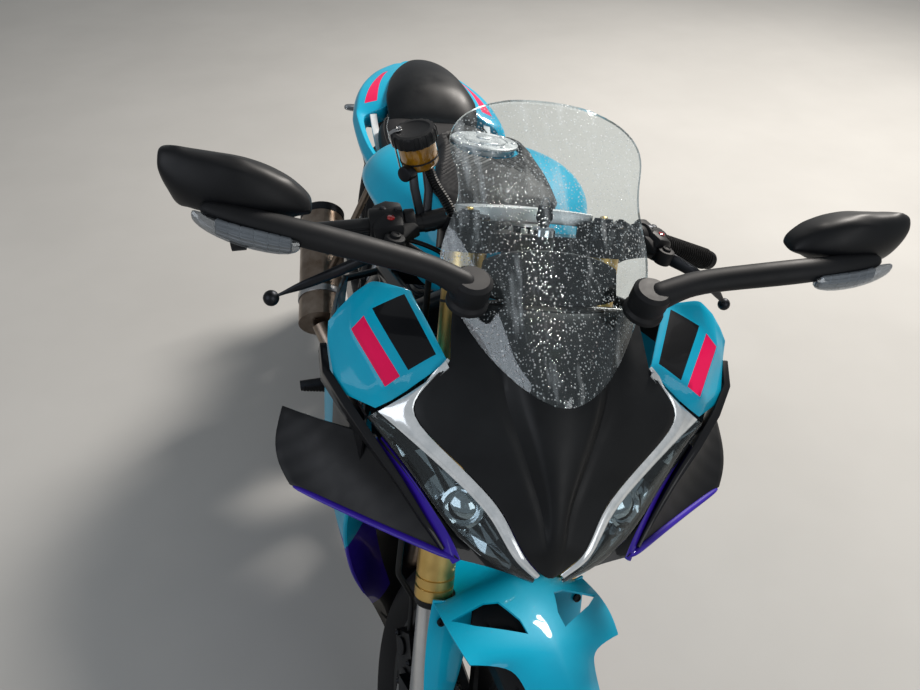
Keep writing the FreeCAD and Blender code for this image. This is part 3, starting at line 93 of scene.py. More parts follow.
REAR_WHEEL = PARKED @ Matrix.Translation((0, WHEELBASE, REAR_HIGH))
miss = (FRONT_WHEEL.translation - Vector(JOINTS["front_wheel_spin"]["pos_m"])).length
print("front axle is", round(miss * 1000, 2), "mm from its joint")

# %% [markdown]
# Modelling helpers. Each does one thing that a modeller does by hand: pick a piece, pull a grid into
# shape, spin a profile, apply a modifier, make a mirrored copy, and set the finished piece in place.

# %% Helpers for picking and shaping pieces


def use(obj):
    """Leaves edit mode and makes one piece the only selected and active one."""
    if bpy.context.object and bpy.context.object.mode != "OBJECT":
        bpy.ops.object.mode_set(mode="OBJECT")
    bpy.ops.object.select_all(action="DESELECT")
    obj.select_set(True)
    bpy.context.view_layer.objects.active = obj
    return obj


def fresh(name):
    """Names the primitive that was just added."""
    obj = bpy.context.object
    obj.name = name
    obj.data.name = name
    return obj


def edit(obj, what="FACE"):
    """Edit mode with nothing selected."""
    use(obj)
    bpy.ops.object.mode_set(mode="EDIT")
    bpy.ops.mesh.select_mode(type=what)
    bpy.ops.mesh.select_all(action="DESELECT")
    return obj


def edit_all(obj, what="FACE"):
    """Edit mode with everything selected."""
    edit(obj, what)
    bpy.ops.mesh.select_all(action="SELECT")
    return obj


def middles_of(obj):
    """The middle of each face."""
    return [sum((obj.data.vertices[i].co for i in face.vertices), Vector()) / len(face.vertices)
            for face in obj.data.polygons]


def pick(obj, test):
    """Selects the faces whose middle and normal pass the test, in edit mode."""
    edit(obj)
    bpy.ops.object.mode_set(mode="OBJECT")
    for face, middle in zip(obj.data.polygons, middles_of(obj)):
        face.select = bool(test(middle, face.normal))
    bpy.ops.object.mode_set(mode="EDIT")


def modify(obj, kind, **settings):
    """Adds one modifier and applies it."""
    use(obj)
    bpy.ops.object.modifier_add(type=kind)
    modifier = obj.modifiers[-1]
    for key, value in settings.items():
        setattr(modifier, key, value)
    bpy.ops.object.modifier_apply(modifier=modifier.name)
    return obj


def subdivide(obj, levels):
    """Subdivides a mesh smoothly."""
    return modify(obj, "SUBSURF", levels=levels, render_levels=levels)


def thicken(obj, thick, offset=-1):
    """Gives a sheet a wall, inwards of its faces or with offset 0 to both sides."""
    return modify(obj, "SOLIDIFY", thickness=thick, offset=offset)


def round_edges(obj, width, steps=2, degrees=40):
    """Rounds the edges that turn by more than some degrees."""
    return modify(obj, "BEVEL", width=width, segments=steps, angle_limit=math.radians(degrees))


def wall(obj, thick, bevel=0.0):
    """Subdivides a sheet, gives it a wall inwards and rounds its rim."""
    thicken(subdivide(obj, 2), thick)
    return round_edges(obj, bevel, degrees=50) if bevel else obj


def pull(obj, points):
    """Moves each vertex of a primitive to its own point."""
    for vertex, point in zip(obj.data.vertices, points, strict=True):
        vertex.co = point
    return obj


def grid_sheet(name, rows, outward):
    """A grid primitive pulled to rows of points. Its faces look along outward."""
    bpy.ops.mesh.primitive_grid_add(x_subdivisions=len(rows[0]) - 1, y_subdivisions=len(rows) - 1, size=1)
    obj = pull(fresh(name), [Vector(p) for row in rows for p in row])
    obj.data.update()
    leaning = sum(face.normal.dot(Vector(outward)) * face.area for face in obj.data.polygons)
    if leaning < 0:
        edit_all(obj)
        bpy.ops.mesh.flip_normals()
        use(obj)
    return obj


def outline(name, corners, fill="NGON"):
    """A circle primitive pulled to a closed line of corners."""
    bpy.ops.mesh.primitive_circle_add(vertices=len(corners), radius=1, fill_type=fill)
    return pull(fresh(name), corners)


def turned(name, profile, steps=48):
    """A closed profile of (radius, height) pairs spun round the Z axis."""
    obj = outline(name, [(radius, 0, height) for radius, height in profile], "NOTHING")
    edit_all(obj, "EDGE")
    bpy.ops.mesh.spin(steps=steps, angle=math.tau, center=(0, 0, 0), axis=(0, 0, 1))
    bpy.ops.mesh.select_all(action="SELECT")
    bpy.ops.mesh.remove_doubles(threshold=0.01)
    bpy.ops.mesh.normals_make_consistent(inside=False)
    return use(obj)


def hose(name, points, radius, sides=3):
    """A round tube along a smooth line through the room between its points."""
    curve = bpy.data.curves.new(name, "CURVE")
    curve.dimensions = "3D"
    curve.bevel_depth = radius
    curve.bevel_resolution = sides
    curve.resolution_u = 6
    curve.use_fill_caps = True
    line = curve.splines.new("NURBS")
    line.points.add(len(points) - 1)
    for knot, point in zip(line.points, points, strict=True):
        knot.co = (*point, 1)
    line.order_u = 3
    line.use_endpoint_u = True
    obj = bpy.data.objects.new(name, curve)
    bpy.context.scene.collection.objects.link(obj)
    use(obj)
    bpy.ops.object.convert(target="MESH")
    return fresh(name)


def aim(start, way):
    """The matrix that takes the Z axis at zero to a line from start along way."""
    return Matrix.Translation(start) @ Vector(way).normalized().to_track_quat("Z", "Y").to_matrix().to_4x4()


def shift(obj, matrix):
    """Moves the mesh itself, so that the object stays at the origin."""
    obj.data.transform(matrix)
    obj.data.update()
    return obj


def move(obj, x, y, z):
    """Moves the mesh by millimetres."""
    return shift(obj, Matrix.Translation((x, y, z)))


def mirror_of(obj, name):
    """The other side's copy: X turned over, and the faces turned back outwards."""
    twin = obj.copy()
    twin.data = obj.data.copy()
    twin.name = twin.data.name = name
    bpy.context.scene.collection.objects.link(twin)
    edit_all(shift(twin, Matrix.Diagonal((-1, 1, 1, 1))))
    bpy.ops.mesh.flip_normals()
    return use(twin)


def join(name, parts):
    """Joins pieces into the first of them."""
    use(parts[0])
    for part in parts:
        part.select_set(True)
    if len(parts) > 1:
        bpy.ops.object.join()
    return fresh(name)


# names of the pieces that are in place
made = []


def settle(obj, place, body, slot, finish, replaced=(), angle=35):
    """Carries a finished mesh to its place, gives its finish and lets it ride on its body."""
    shift(obj, place)
    if finish:
        obj.data.materials.clear()
        obj.data.materials.append(finish)
    use(obj)
    bpy.ops.object.shade_smooth_by_angle(angle=math.radians(angle))
    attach(obj, body)
    if replaced:
        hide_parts(*replaced)
    made.append(obj.name)
    return obj


def both(obj, name, *settings, **more):
    """Settles a piece drawn on the bike's left and its mirror image on the right."""
    twin = mirror_of(obj, name + "_right")
    obj.name = obj.data.name = name + "_left"
    return settle(obj, *settings, **more), settle(twin, *settings, **more)


# %% [markdown]
# Bodywork is thin sheet, so it is drawn as lines that neighbours share. These helpers divide a line
# evenly, fill the room between two lines, hold corners and edges under subdivision and close rings
# into a skin. Bars, drums and screws are made with them too.

# %% Lines, sheets between lines, and closed skins


def along(line, count):
    """Points spaced evenly along a line of points."""
    line = [Vector(p) for p in line]
    reach = [0.0]
    for a, b in zip(line, line[1:]):
        reach.append(reach[-1] + (b - a).length)
    out = []
    for step in range(count):
        goal = reach[-1] * step / (count - 1)
        i = max(k for k in range(len(line) - 1) if reach[k] <= goal + 1e-9)
        share = (goal - reach[i]) / max(reach[i + 1] - reach[i], 1e-9)
        out.append(line[i].lerp(line[i + 1], min(share, 1.0)))
    return out


def between(line_a, line_b, across, bulge=0.0, outward=(0, 0, 1)):
    """Rows from one line to another of as many points, bulging outwards in the middle."""
    rows = []
    for i in range(across + 1):
        share = i / across
        lift = Vector(outward) * bulge * 4 * share * (1 - share)
        rows.append([Vector(a).lerp(Vector(b), share) + lift for a, b in zip(line_a, line_b)])
    return rows


def mirrored_rows(half_rows):
    """Rows from the middle to the left edge, completed with their mirror image on the right."""
    return [[Vector((-p[0], p[1], p[2])) for p in row[:0:-1]] + [Vector(p) for p in row] for row in half_rows]


def line_of(rows, row=None, column=None):
    """Vertex numbers along one row or one column of a grid sheet."""
    wide = len(rows[0])
    if row is not None:
        row %= len(rows)
        return [row * wide + j for j in range(wide)]
    return [i * wide + column % wide for i in range(len(rows))]


def ends_of(rows, *numbers):
    """Vertex numbers at both ends of some rows of a grid sheet, or of its first and last row."""
    lines = [line_of(rows, row=number) for number in numbers or (0, -1)]
    return [end for line in lines for end in (line[0], line[-1])]


def hold(obj, corners):
    """Corners that subdivision may not round."""
    layer = obj.data.attributes.get("crease_vert") or obj.data.attributes.new("crease_vert", "FLOAT", "POINT")
    for number in corners:
        layer.data[number].value = 1.0
    return obj


def crease(obj, lines, value):
    """Marks the edges along lines of vertex numbers as sharp for subdivision, fully at 1."""
    wanted = {frozenset(pair) for line in lines for pair in zip(line, line[1:])}
    layer = obj.data.attributes.get("crease_edge") or obj.data.attributes.new("crease_edge", "FLOAT", "EDGE")
    for edge in obj.data.edges:
        if frozenset(edge.vertices) in wanted:
            layer.data[edge.index].value = value
    return obj


def panel(name, rows, outward, thick, bevel=0.0, held=()):
    """A subdivided sheet with a wall, a rounded rim and four firm corners, or more if named."""
    return wall(hold(grid_sheet(name, rows, outward), [*ends_of(rows), *held]), thick, bevel)


def skin(name, rings, levels=1):
    """Closed rings of points joined into a skin, with its ends filled."""
    rows = [[Vector(p) for p in ring] + [Vector(ring[0])] for ring in rings]
    obj = grid_sheet(name, rows, (0, 0, 1))
    edit_all(obj, "VERT")
    bpy.ops.mesh.remove_doubles(threshold=0.001)
    bpy.ops.mesh.select_all(action="DESELECT")
    bpy.ops.mesh.select_non_manifold()
    bpy.ops.mesh.fill_holes(sides=0)
    bpy.ops.mesh.select_all(action="SELECT")
    bpy.ops.mesh.normals_make_consistent(inside=False)
    use(obj)
    return subdivide(obj, levels) if levels else obj


def paint_faces(obj, finishes, numbers):
    """Gives a mesh its finishes; numbers names the finish of each face."""
    for finish in finishes:
        obj.data.materials.append(finish)
    for face, number in zip(obj.data.polygons, numbers, strict=True):
        face.material_index = number
    return obj


def way_at(line, i):
    """The direction of a line of points at one of them."""
    return (line[min(i + 1, len(line) - 1)] - line[max(i - 1, 0)]).normalized()


def bar(name, points, half_sizes, bevel=0.0):
    """A square bar that follows points; half_sizes gives (across, up) at each, with X across."""
    points = [Vector(p) for p in points]
    rings = []
    for i, point in enumerate(points):
        way = way_at(points, i)
        side = Vector((1, 0, 0)) if abs(way.x) < 0.8 else Vector((0, 1, 0))
        over = side.cross(way).normalized()
        side = way.cross(over).normalized()
        wide, high = half_sizes[min(i, len(half_sizes) - 1)]
        rings.append([point + side * wide * a + over * high * b
                      for a, b in ((-1, -1), (1, -1), (1, 1), (-1, 1))])
    obj = skin(name, rings, levels=0)
    return round_edges(obj, bevel) if bevel else obj


def post(name, sides, radius, high):
    """A cylinder primitive that stands on zero."""
    bpy.ops.mesh.primitive_cylinder_add(vertices=sides, radius=radius, depth=high, location=(0, 0, high / 2))
    obj = fresh(name)
    bpy.ops.object.transform_apply(location=True, rotation=True, scale=True)
    return obj


def drum(name, start, end, radius, bevel=1.0, sides=32):
    """A cylinder between two points with rounded rims."""
    start, end = Vector(start), Vector(end)
    obj = post(name, sides, radius, (end - start).length)
    if bevel:
        round_edges(obj, bevel)
    return shift(obj, aim(start, end - start))


def screw(name, place, way, radius, high):
    """A button-head screw: a domed disc with a socket pushed into it."""
    obj = post(name, 12, radius, high)
    # the top face, drawn in to a dome, and then drawn in again and pushed down to a socket
    pick(obj, lambda middle, normal: normal.z > 0.9)
    bpy.ops.mesh.inset(thickness=radius * 0.3, depth=high * 0.25)
    bpy.ops.mesh.inset(thickness=radius * 0.25, depth=-high * 0.5)
    use(obj)
    return shift(obj, aim(place, way))


# %% [markdown]
# Finishes. Painted panels are ABS with a coloured lacquer under a clear coat, so they carry a sharp
# reflection over a softer one and a faint orange peel. Moulded parts have a fine spark-eroded grain.
# Metals differ by how they were made: cast, machined, anodised, chromed. Every pattern's scale is
# worked out from a real size in millimetres.

# %% Colour, node and material helpers


def linear(code):
    """An sRGB hex colour as linear RGBA."""
    parts = [int(code[i:i + 2], 16) / 255 for i in (1, 3, 5)]
    return tuple(p / 12.92 if p <= 0.04045 else ((p + 0.055) / 1.055) ** 2.4 for p in parts) + (1.0,)


def put(tree, kind, settings=(), links=()):
    """Adds a node with its settings, and feeds its inputs from (input, node, output) links."""
    node = tree.nodes.new(kind)
    for key, value in dict(settings).items():
        if isinstance(key, int) or key in node.inputs:
            node.inputs[key].default_value = value
        else:
            setattr(node, key, value)
    for socket, source, output in links:
        tree.links.new(source.outputs[output], node.inputs[socket])
    return node


def new_finish(name, **settings):
    """A material with one Principled shader; settings go onto the shader's own sockets."""
    material = bpy.data.materials.new(name)
    material.use_nodes = True
    tree = material.node_tree
    tree.nodes.clear()
    shader = put(tree, "ShaderNodeBsdfPrincipled", {key.replace("_", " "): v for key, v in settings.items()})
    put(tree, "ShaderNodeOutputMaterial", links=[("Surface", shader, "BSDF")])
    where = put(tree, "ShaderNodeTexCoord")
    return material, tree, shader, where


def per_metre(millimetres):
    """How many cells of this size fit in a metre, which is a texture's scale."""
    return 1000.0 / millimetres


def grain_over(tree, shader, where, cell_mm, depth_mm, detail=3.0, stretch=(1, 1, 1)):
    """Fine relief: a noise of one cell size, as a bump."""
    spread = put(tree, "ShaderNodeMapping", {"Scale": stretch}, [("Vector", where, "Object")])
    noise = put(tree, "ShaderNodeTexNoise", {"Scale": per_metre(cell_mm), "Detail": detail},
                [("Vector", spread, "Vector")])
    bump = put(tree, "ShaderNodeBump", {"Strength": 0.6, "Distance": depth_mm * 0.001},
               [("Height", noise, "Fac")])
    tree.links.new(bump.outputs["Normal"], shader.inputs["Normal"])


def patches_over(tree, shader, where, low, high, cell_mm, socket="Roughness"):
    """Soft patches between two values or two colours: handling, dust and uneven drying."""
    noise = put(tree, "ShaderNodeTexNoise", {"Scale": per_metre(cell_mm), "Detail": 4.0, "Roughness": 0.6},
                [("Vector", where, "Object")])
    if socket == "Base Color":
        ramp = put(tree, "ShaderNodeValToRGB", (), [("Fac", noise, "Fac")])
        for stop, place, code in zip(ramp.color_ramp.elements, (0.35, 0.68), (low, high)):
            stop.position = place
            stop.color = linear(code)
        tree.links.new(ramp.outputs["Color"], shader.inputs[socket])
    else:
        spread = put(tree, "ShaderNodeMapRange",
                     {"From Min": 0.3, "From Max": 0.7, "To Min": low, "To Max": high},
                     [("Value", noise, "Fac")])
        tree.links.new(spread.outputs["Result"], shader.inputs[socket])


def patchy(name, low, high, cell_mm, **settings):
    """A smooth finish whose colour drifts between two values."""
    material, tree, shader, where = new_finish(name, **settings)
    patches_over(tree, shader, where, low, high, cell_mm, "Base Color")
    return material


# %% Painted and moulded finishes


def lacquered(name, low, high):
    """Two-coat lacquer on ABS: clear coat, a hint of colour drift and orange peel about 2 mm across."""
    material, tree, shader, where = new_finish(
        name, Roughness=0.45, IOR=1.25, Coat_Weight=0.4, Coat_Roughness=0.05)
    patches_over(tree, shader, where, low, high, 160, "Base Color")
    grain_over(tree, shader, where, 2.2, 0.02, 1.0)
    return material


def moulded(name, low, high, rough, cell_mm=0.9, depth_mm=0.05, ior=1.34):
    """Moulded plastic with a spark-eroded grain, drawn a little coarser than real so that it shows."""
    material, tree, shader, where = new_finish(name, IOR=ior)
    patches_over(tree, shader, where, low, high, 90, "Base Color")
    patches_over(tree, shader, where, rough - 0.06, rough + 0.08, 45)
    grain_over(tree, shader, where, cell_mm, depth_mm)
    return material


CYAN = lacquered("cyan_clear_coated_abs", "#009CC0", "#00AACC")
VIOLET = lacquered("violet_clear_coated_abs", "#2C1690", "#3A1FA8")
PINK = lacquered("crimson_pink_vinyl_under_lacquer", "#E00650", "#F00A5A")
FIELD = lacquered("black_gloss_decal_field", "#07080B", "#0B0D12")
PALE = lacquered("light_grey_vinyl_stripe", "#C9CDD0", "#D6DADC")
SATIN = moulded("satin_black_painted_abs", "#0A0C0F", "#0F1215", 0.44, 1.4, 0.012)
MIRROR_BLACK = moulded("grained_black_polypropylene", "#0A0B0E", "#101215", 0.46, 0.9, 0.04)
PLASTIC = moulded("black_moulded_nylon", "#101113", "#18191C", 0.55, 0.8, 0.05)
GRIP_RUBBER = moulded("black_grip_rubber", "#0D0D0E", "#161617", 0.72, 1.2, 0.08)
TYRE = moulded("road_tyre_rubber", "#141415", "#1E1E1F", 0.78, 1.0, 0.06)
HOSE_RUBBER = moulded("braid_reinforced_hose_rubber", "#0C0D0E", "#151617", 0.5, 1.6, 0.05)
VINYL = moulded("black_seat_vinyl", "#121214", "#1A1A1D", 0.52, 1.8, 0.12)
RIM_PAINT = lacquered("black_powder_coated_alloy", "#0E0F11", "#14161A")
print("painted and moulded finishes:", len(bpy.data.materials))

# %% [markdown]
# Metals keep the default IOR and differ in colour, roughness and grain: chrome is near a mirror,
# anodised gold has fine lathe rings, sand-cast aluminium has grains a millimetre across.

# %% Metals


def metal(name, low, high, rough, cell_mm, depth_mm, stretch=(1, 1, 1)):
    """Bare or plated metal: colour and polish drift a little, over a fine grain or tool marks."""
    material, tree, shader, where = new_finish(name, Metallic=1.0)
    patches_over(tree, shader, where, low, high, 60, "Base Color")
    patches_over(tree, shader, where, rough * 0.8, rough * 1.25, 25)
    grain_over(tree, shader, where, cell_mm, depth_mm, 2.0, stretch)
    return material


GOLD = metal("gold_anodised_aluminium", "#CDAA63", "#E2C27C", 0.36, 0.5, 0.01, (1, 1, 6))
CHROME = metal("hard_chromed_steel", "#C4C6C8", "#D2D4D6", 0.1, 0.6, 0.004)
MACHINED = metal("machined_aluminium", "#DADCDD", "#E6E8E9", 0.42, 0.6, 0.02, (6, 1, 1))
CAST = metal("cast_aluminium", "#85888B", "#9A9DA0", 0.5, 1.1, 0.12)
STEEL = metal("brushed_stainless_steel", "#A4A5A6", "#B8B9BA", 0.28, 0.5, 0.02, (1, 8, 1))
DARK_STEEL = metal("black_zinc_plated_steel", "#26272A", "#34363A", 0.42, 0.7, 0.03)
HEATED = metal("heat_tinted_exhaust_steel", "#6E5F52", "#93877C", 0.34, 0.8, 0.03)
CHAIN_STEEL = metal("oiled_chain_steel", "#6A6862", "#8A8880", 0.36, 0.9, 0.04)
ENGINE_PAINT = metal("dark_grey_cast_engine_paint", "#34373B", "#43474C", 0.5, 1.2, 0.14)
FRAME_PAINT = lacquered("black_powder_coated_steel", "#101113", "#17191C")
SPRING_PAINT = lacquered("powder_coated_spring_steel", "#20242A", "#2C3138")
PLATE_PAINT = lacquered("white_reflective_plate_film", "#D8DBDD", "#E2E4E6")
REFLECTOR = metal("vacuum_metallised_reflector", "#D8DADC", "#E6E8EA", 0.08, 3.0, 0.01)

# %% [markdown]
# Clear pieces. The screen is clear polycarbonate 3 mm thick with rain on it: round drops a few
# millimetres across, and streaks where drops have run down. The drops are a relief of rounded cells.

# %% Glass, lenses and light guides


def see_through(name, code, amount, rough):
    """A thin clear sheet: mostly see-through, with a reflection that grows at grazing angles."""
    material = bpy.data.materials.new(name)
    material.use_nodes = True
    tree = material.node_tree
    tree.nodes.clear()
    where = put(tree, "ShaderNodeTexCoord")
    clear = put(tree, "ShaderNodeBsdfTransparent", {"Color": linear(code)})
    shine = put(tree, "ShaderNodeBsdfPrincipled",
                {"Base Color": linear("#F4F8F9"), "Metallic": 1.0, "Roughness": rough})
    rim = put(tree, "ShaderNodeLayerWeight", {"Blend": 0.5})
    steep = put(tree, "ShaderNodeMath", {"operation": "POWER", 1: 4.0}, [(0, rim, "Facing")])
    share = put(tree, "ShaderNodeMapRange", {"From Max": 1.0, "To Min": amount + 0.03, "To Max": 0.7},
                [("Value", steep, "Value")])
    blend = put(tree, "ShaderNodeMixShader", (),
                [("Fac", share, "Result"), (1, clear, "BSDF"), (2, shine, "BSDF")])
    out = put(tree, "ShaderNodeOutputMaterial", links=[("Surface", blend, "Shader")])
    return material, tree, shine, where, rim, blend, out


SCREEN, tree, shine, where, rim, blend, out = see_through("wet_clear_polycarbonate", "#F4F8F9", 0.02, 0.05)
# drops: round cells 3.4 mm apart, each of a size drawn from its cell's own colour
cells = put(tree, "ShaderNodeTexVoronoi", {"Scale": per_metre(3.4), "Randomness": 1.0},
            [("Vector", where, "Object")])
sizes = put(tree, "ShaderNodeSeparateColor", (), [("Color", cells, "Color")])
reach = put(tree, "ShaderNodeMath", {"operation": "MULTIPLY", 1: 0.42}, [(0, sizes, "Red")])
drop = put(tree, "ShaderNodeMath", {"operation": "SUBTRACT"}, [(0, reach, "Value"), (1, cells, "Distance")])
dome = put(tree, "ShaderNodeMapRange", {"From Min": 0.0, "From Max": 0.12}, [("Value", drop, "Value")])
beads = put(tree, "ShaderNodeBump", {"Strength": 0.9, "Distance": 0.0012}, [("Height", dome, "Result")])
tree.links.new(beads.outputs["Normal"], shine.inputs["Normal"])
tree.links.new(beads.outputs["Normal"], rim.inputs["Normal"])
# streaks: a noise that is narrow across the bike and long down the screen
run = put(tree, "ShaderNodeMapping", {"Scale": (34, 5, 5)}, [("Vector", where, "Object")])
streaks = put(tree, "ShaderNodeTexNoise", {"Scale": 1.6, "Detail": 5.0, "Roughness": 0.62},
              [("Vector", run, "Vector")])
haze = put(tree, "ShaderNodeMapRange", {"From Min": 0.55, "From Max": 0.78, "To Min": 0.0, "To Max": 0.3},
           [("Value", streaks, "Fac")])
spot = put(tree, "ShaderNodeMath", {"operation": "MULTIPLY", 1: 0.4}, [(0, dome, "Result")])
total = put(tree, "ShaderNodeMath", {"operation": "ADD", "use_clamp": True},
            [(0, haze, "Result"), (1, spot, "Value")])
film = put(tree, "ShaderNodeBsdfPrincipled", {"Base Color": linear("#F2F7F9"), "Roughness": 0.25})
wet = put(tree, "ShaderNodeMixShader", (), [("Fac", total, "Value"), (1, blend, "Shader"), (2, film, "BSDF")])
tree.links.new(wet.outputs["Shader"], out.inputs["Surface"])

EDGE = see_through("polished_polycarbonate_edge", "#F2FDFF", 0.75, 0.12)[0]
LENS = see_through("clear_hard_coated_lens", "#E4EAEC", 0.02, 0.02)[0]
SMOKED = see_through("smoked_flasher_lens", "#B9BDC2", 0.06, 0.06)[0]

GUIDE = patchy("frosted_light_guide_over_chrome", "#D9DEE0", "#F0F3F4", 14,
               Roughness=0.14, Metallic=0.35, Coat_Weight=1.0, Coat_Roughness=0.03)
GLASS = patchy("mirror_glass", "#C2CACE", "#CCD3D6", 80, Metallic=1.0, Roughness=0.03)
DISPLAY = patchy("anti_glare_display_glass", "#0A0C0F", "#101317", 50,
                 Roughness=0.18, IOR=1.5, Coat_Weight=0.6, Coat_Roughness=0.1)
RED = patchy("red_polycarbonate_lens", "#8E0A0C", "#B21012", 12,
             Roughness=0.12, Coat_Weight=1.0, Coat_Roughness=0.03)
FLUID = patchy("amber_brake_fluid_pot", "#6E4A06", "#9A6C10", 14, Roughness=0.16, Coat_Weight=0.8)
print("all finishes:", len(bpy.data.materials))

# %% [markdown]
# CAD nodes whose shape is already right keep their mesh and only get a finish. The cells below
# replace all the others.

# %% Finishes of the CAD nodes
NODE_FINISH = {
    RIM_PAINT: ["front_rim", "rear_rim"],
    STEEL: ["front_disc", "rear_disc", "front_axle", "rear_axles", "rear_sprocket"],
    CHROME: ["fork_inner_tubes"],
    FRAME_PAINT: ["frame", "head_tube", "swingarm", "side_stand", "upper_yoke", "lower_yoke", "handlebars"],
    ENGINE_PAINT: ["engine"],
    DARK_STEEL: ["front_caliper", "rear_caliper", "footrests"],
    HEATED: ["exhaust"],
    HOSE_RUBBER: ["brake_hose"],
    PLASTIC: ["radiator", "plate_holder"],
    CAST: ["fork_feet", "bobbin_bosses", "rear_shock"]}
for finish, names in NODE_FINISH.items():
    for name in names:
        NODES[name].data.materials.clear()
        NODES[name].data.materials.append(finish)
print("CAD nodes that stay:", sum(len(names) for names in NODE_FINISH.values()))

# %% [markdown]
# The nose is one moulded ABS panel, painted satin black. A raised wedge runs down its middle between
# two soft grooves that start under the screen and die out above the tip. It could be sculpted, but
# the creases have to meet exactly, so it is a grid of measured points whose edges are creased.

# %% Nose panel
NOSE_HALF = [
    # from the middle to the left edge: wedge, its shoulder, the groove, the side plane, its middle, its edge
    [(0, 168, 962), (42, 172, 962), (58, 177, 960), (72, 183, 959), (92, 192, 955), (112, 200, 950)],
    [(0, 112, 938), (44, 130, 940), (60, 141, 933), (75, 148, 935), (96, 160, 934), (116, 171, 932)],
    [(0, 74, 914), (46, 96, 916), (63, 109, 904), (80, 116, 909), (100, 128, 913), (118, 138, 914)],
    [(0, 54, 893), (40, 74, 897), (54, 85, 883), (70, 92, 889), (108, 108, 892), (146, 120, 886)],
    [(0, 35, 872), (30, 52, 877), (43, 62, 863), (58, 69, 869), (112, 88, 869), (165, 106, 863)],
    [(0, 20, 846), (21, 32, 851), (31, 41, 838), (44, 47, 843), (79, 58, 842), (114, 68, 834.5)],
    [(0, 6, 821), (12, 14, 826), (20, 21, 814), (30, 24, 817), (46, 27, 813), (63, 28, 806)],
    [(0, -6, 800), (8, -1, 803), (13, 3, 796), (20, 5, 797), (34, 7, 794), (49, 7, 788.5)],
    [(0, -15, 780), (6, -14.5, 780), (11, -14.5, 779), (17, -14, 778), (26, -14, 775), (36, -14, 771)],
    [(0, -22, 757), (4, -21.5, 757), (8, -21, 757), (12, -20, 757), (18, -19, 757), (24, -18, 757)],
    [(0, -24, 741), (2.5, -24, 741), (4, -23.5, 741.5), (6, -23, 742), (8, -22, 743), (11, -21, 744)]]
NOSE_EDGE = [Vector(row[-1]) for row in NOSE_HALF[2:]]
nose_rows = mirrored_rows(NOSE_HALF)
nose = grid_sheet("nose_panel", nose_rows, (0, -1, 1))
# how sharp the wedge's shoulder, the groove and the side plane stay, counted from the middle column
for step, value in ((1, 0.95), (2, 0.7), (3, 0.5)):
    crease(nose, [line_of(nose_rows, column=5 - step), line_of(nose_rows, column=5 + step)], value)
hold(nose, ends_of(nose_rows, 0, 2))
wall(nose, 3, 0.6)
settle(nose, PARKED, "chassis", "satin_black", SATIN, ["nose_cowl"])
print("nose faces:", len(nose.data.polygons))

# %% [markdown]
# Round the nose runs a light guide: a frosted strip over chrome, widest at its outer corner. It is
# filled between the nose's own edge and a second line, slightly bulged, so its gap to the nose is even.

# %% Light guides
STRIP_EDGE = [Vector(p) for p in (
    (123, 134, 906), (156, 122, 881), (193, 116, 855), (134, 73, 827), (75, 27, 797), (60, 6, 780),
    (45, -14, 762), (31, -19, 750), (17, -22, 738))]
FRONT_OUT = Vector((0.25, -0.8, 0.5))
NOSE_GAP = 1.2
strip_top = [p + (q - p).normalized() * NOSE_GAP for p, q in zip(NOSE_EDGE, STRIP_EDGE)]
strip_rows = between(strip_top, STRIP_EDGE, 2, 3.5, FRONT_OUT)
outer_corner = line_of(strip_rows, row=2)[2]
strip = panel("light_guide", strip_rows, FRONT_OUT, 4, 0.5, [outer_corner])
both(strip, "light_guide", PARKED, "chassis", "lens", GUIDE, replaced=["headlights"])

# %% [markdown]
# Below the guide sits the headlight: a clear hard-coated lens over a bowl of metallised facets. The
# bowl is pressed inwards from the same two lines, and each facet is tilted a little its own way, so
# they catch the light one by one. Two facets in five get black plastic as painted dark reflection.

# %% Headlight bowls and lenses
LAMP_EDGE = [Vector(p) for p in (
    (204, 118, 845), (154, 72, 806), (108, 22, 764), (84, 5, 753), (58, -12, 743), (36, -19, 737),
    (18, -22, 731))]
INWARD = Vector((-0.35, 0.8, -0.48))
FACETS_DOWN, FACETS_ALONG = 4, 8
BOWL_DEEP, TILT, SLIDE = 20, 7, 4
lamp_top = along(STRIP_EDGE[2:], FACETS_ALONG + 1)
lamp_low = along(LAMP_EDGE, FACETS_ALONG + 1)
random.seed(11)
bowl_rows = []
for i in range(FACETS_DOWN + 1):
    row = []
    for j, (a, b) in enumerate(zip(lamp_top, lamp_low)):
        deep, slide = (4 if 0 < j < FACETS_ALONG else 2), 0
        if 0 < i < FACETS_DOWN and 0 < j < FACETS_ALONG:
            deep = BOWL_DEEP + random.uniform(-TILT, TILT)
            slide = random.uniform(-SLIDE, SLIDE)
        row.append(a.lerp(b, i / FACETS_DOWN) + INWARD * deep + Vector((slide, 0, slide * 0.5)))
    bowl_rows.append(row)
bowl = thicken(grid_sheet("headlight_bowl", bowl_rows, FRONT_OUT), 1.5)
# two facets in five, as if at random, get black plastic: painted dark reflection in the chrome facets
paint_faces(bowl, [REFLECTOR, PLASTIC],
            [int((int(m.x * 7.3) + int(m.z * 3.1)) % 5 < 2) for m in middles_of(bowl)])
both(bowl, "headlight_bowl", PARKED, "chassis", "lens", None, angle=1)
lens = panel("headlight_lens", between(lamp_top, lamp_low, 3, 3.0, FRONT_OUT), FRONT_OUT, 2.5, 0.4)
both(lens, "headlight_lens", PARKED, "chassis", "lens", LENS, replaced=["headlights"])

# %% [markdown]
# A projector sits in each bowl: a short chromed tube with a glass ball set into it. It is spun from
# one profile and placed square to the lens.

# %% Projectors
projector = turned("headlight_projector", [
    (0.01, 0), (17, 0), (19, 4), (19, 10), (16, 11), (15, 7), (12, 9.5), (6, 12), (0.01, 13)], 28)
shift(projector, aim(Vector((98, 40, 784)) + INWARD * 14, -INWARD) @ Matrix.Scale(1.3, 4))
both(projector, "headlight_projector", PARKED, "chassis", "lens", REFLECTOR)

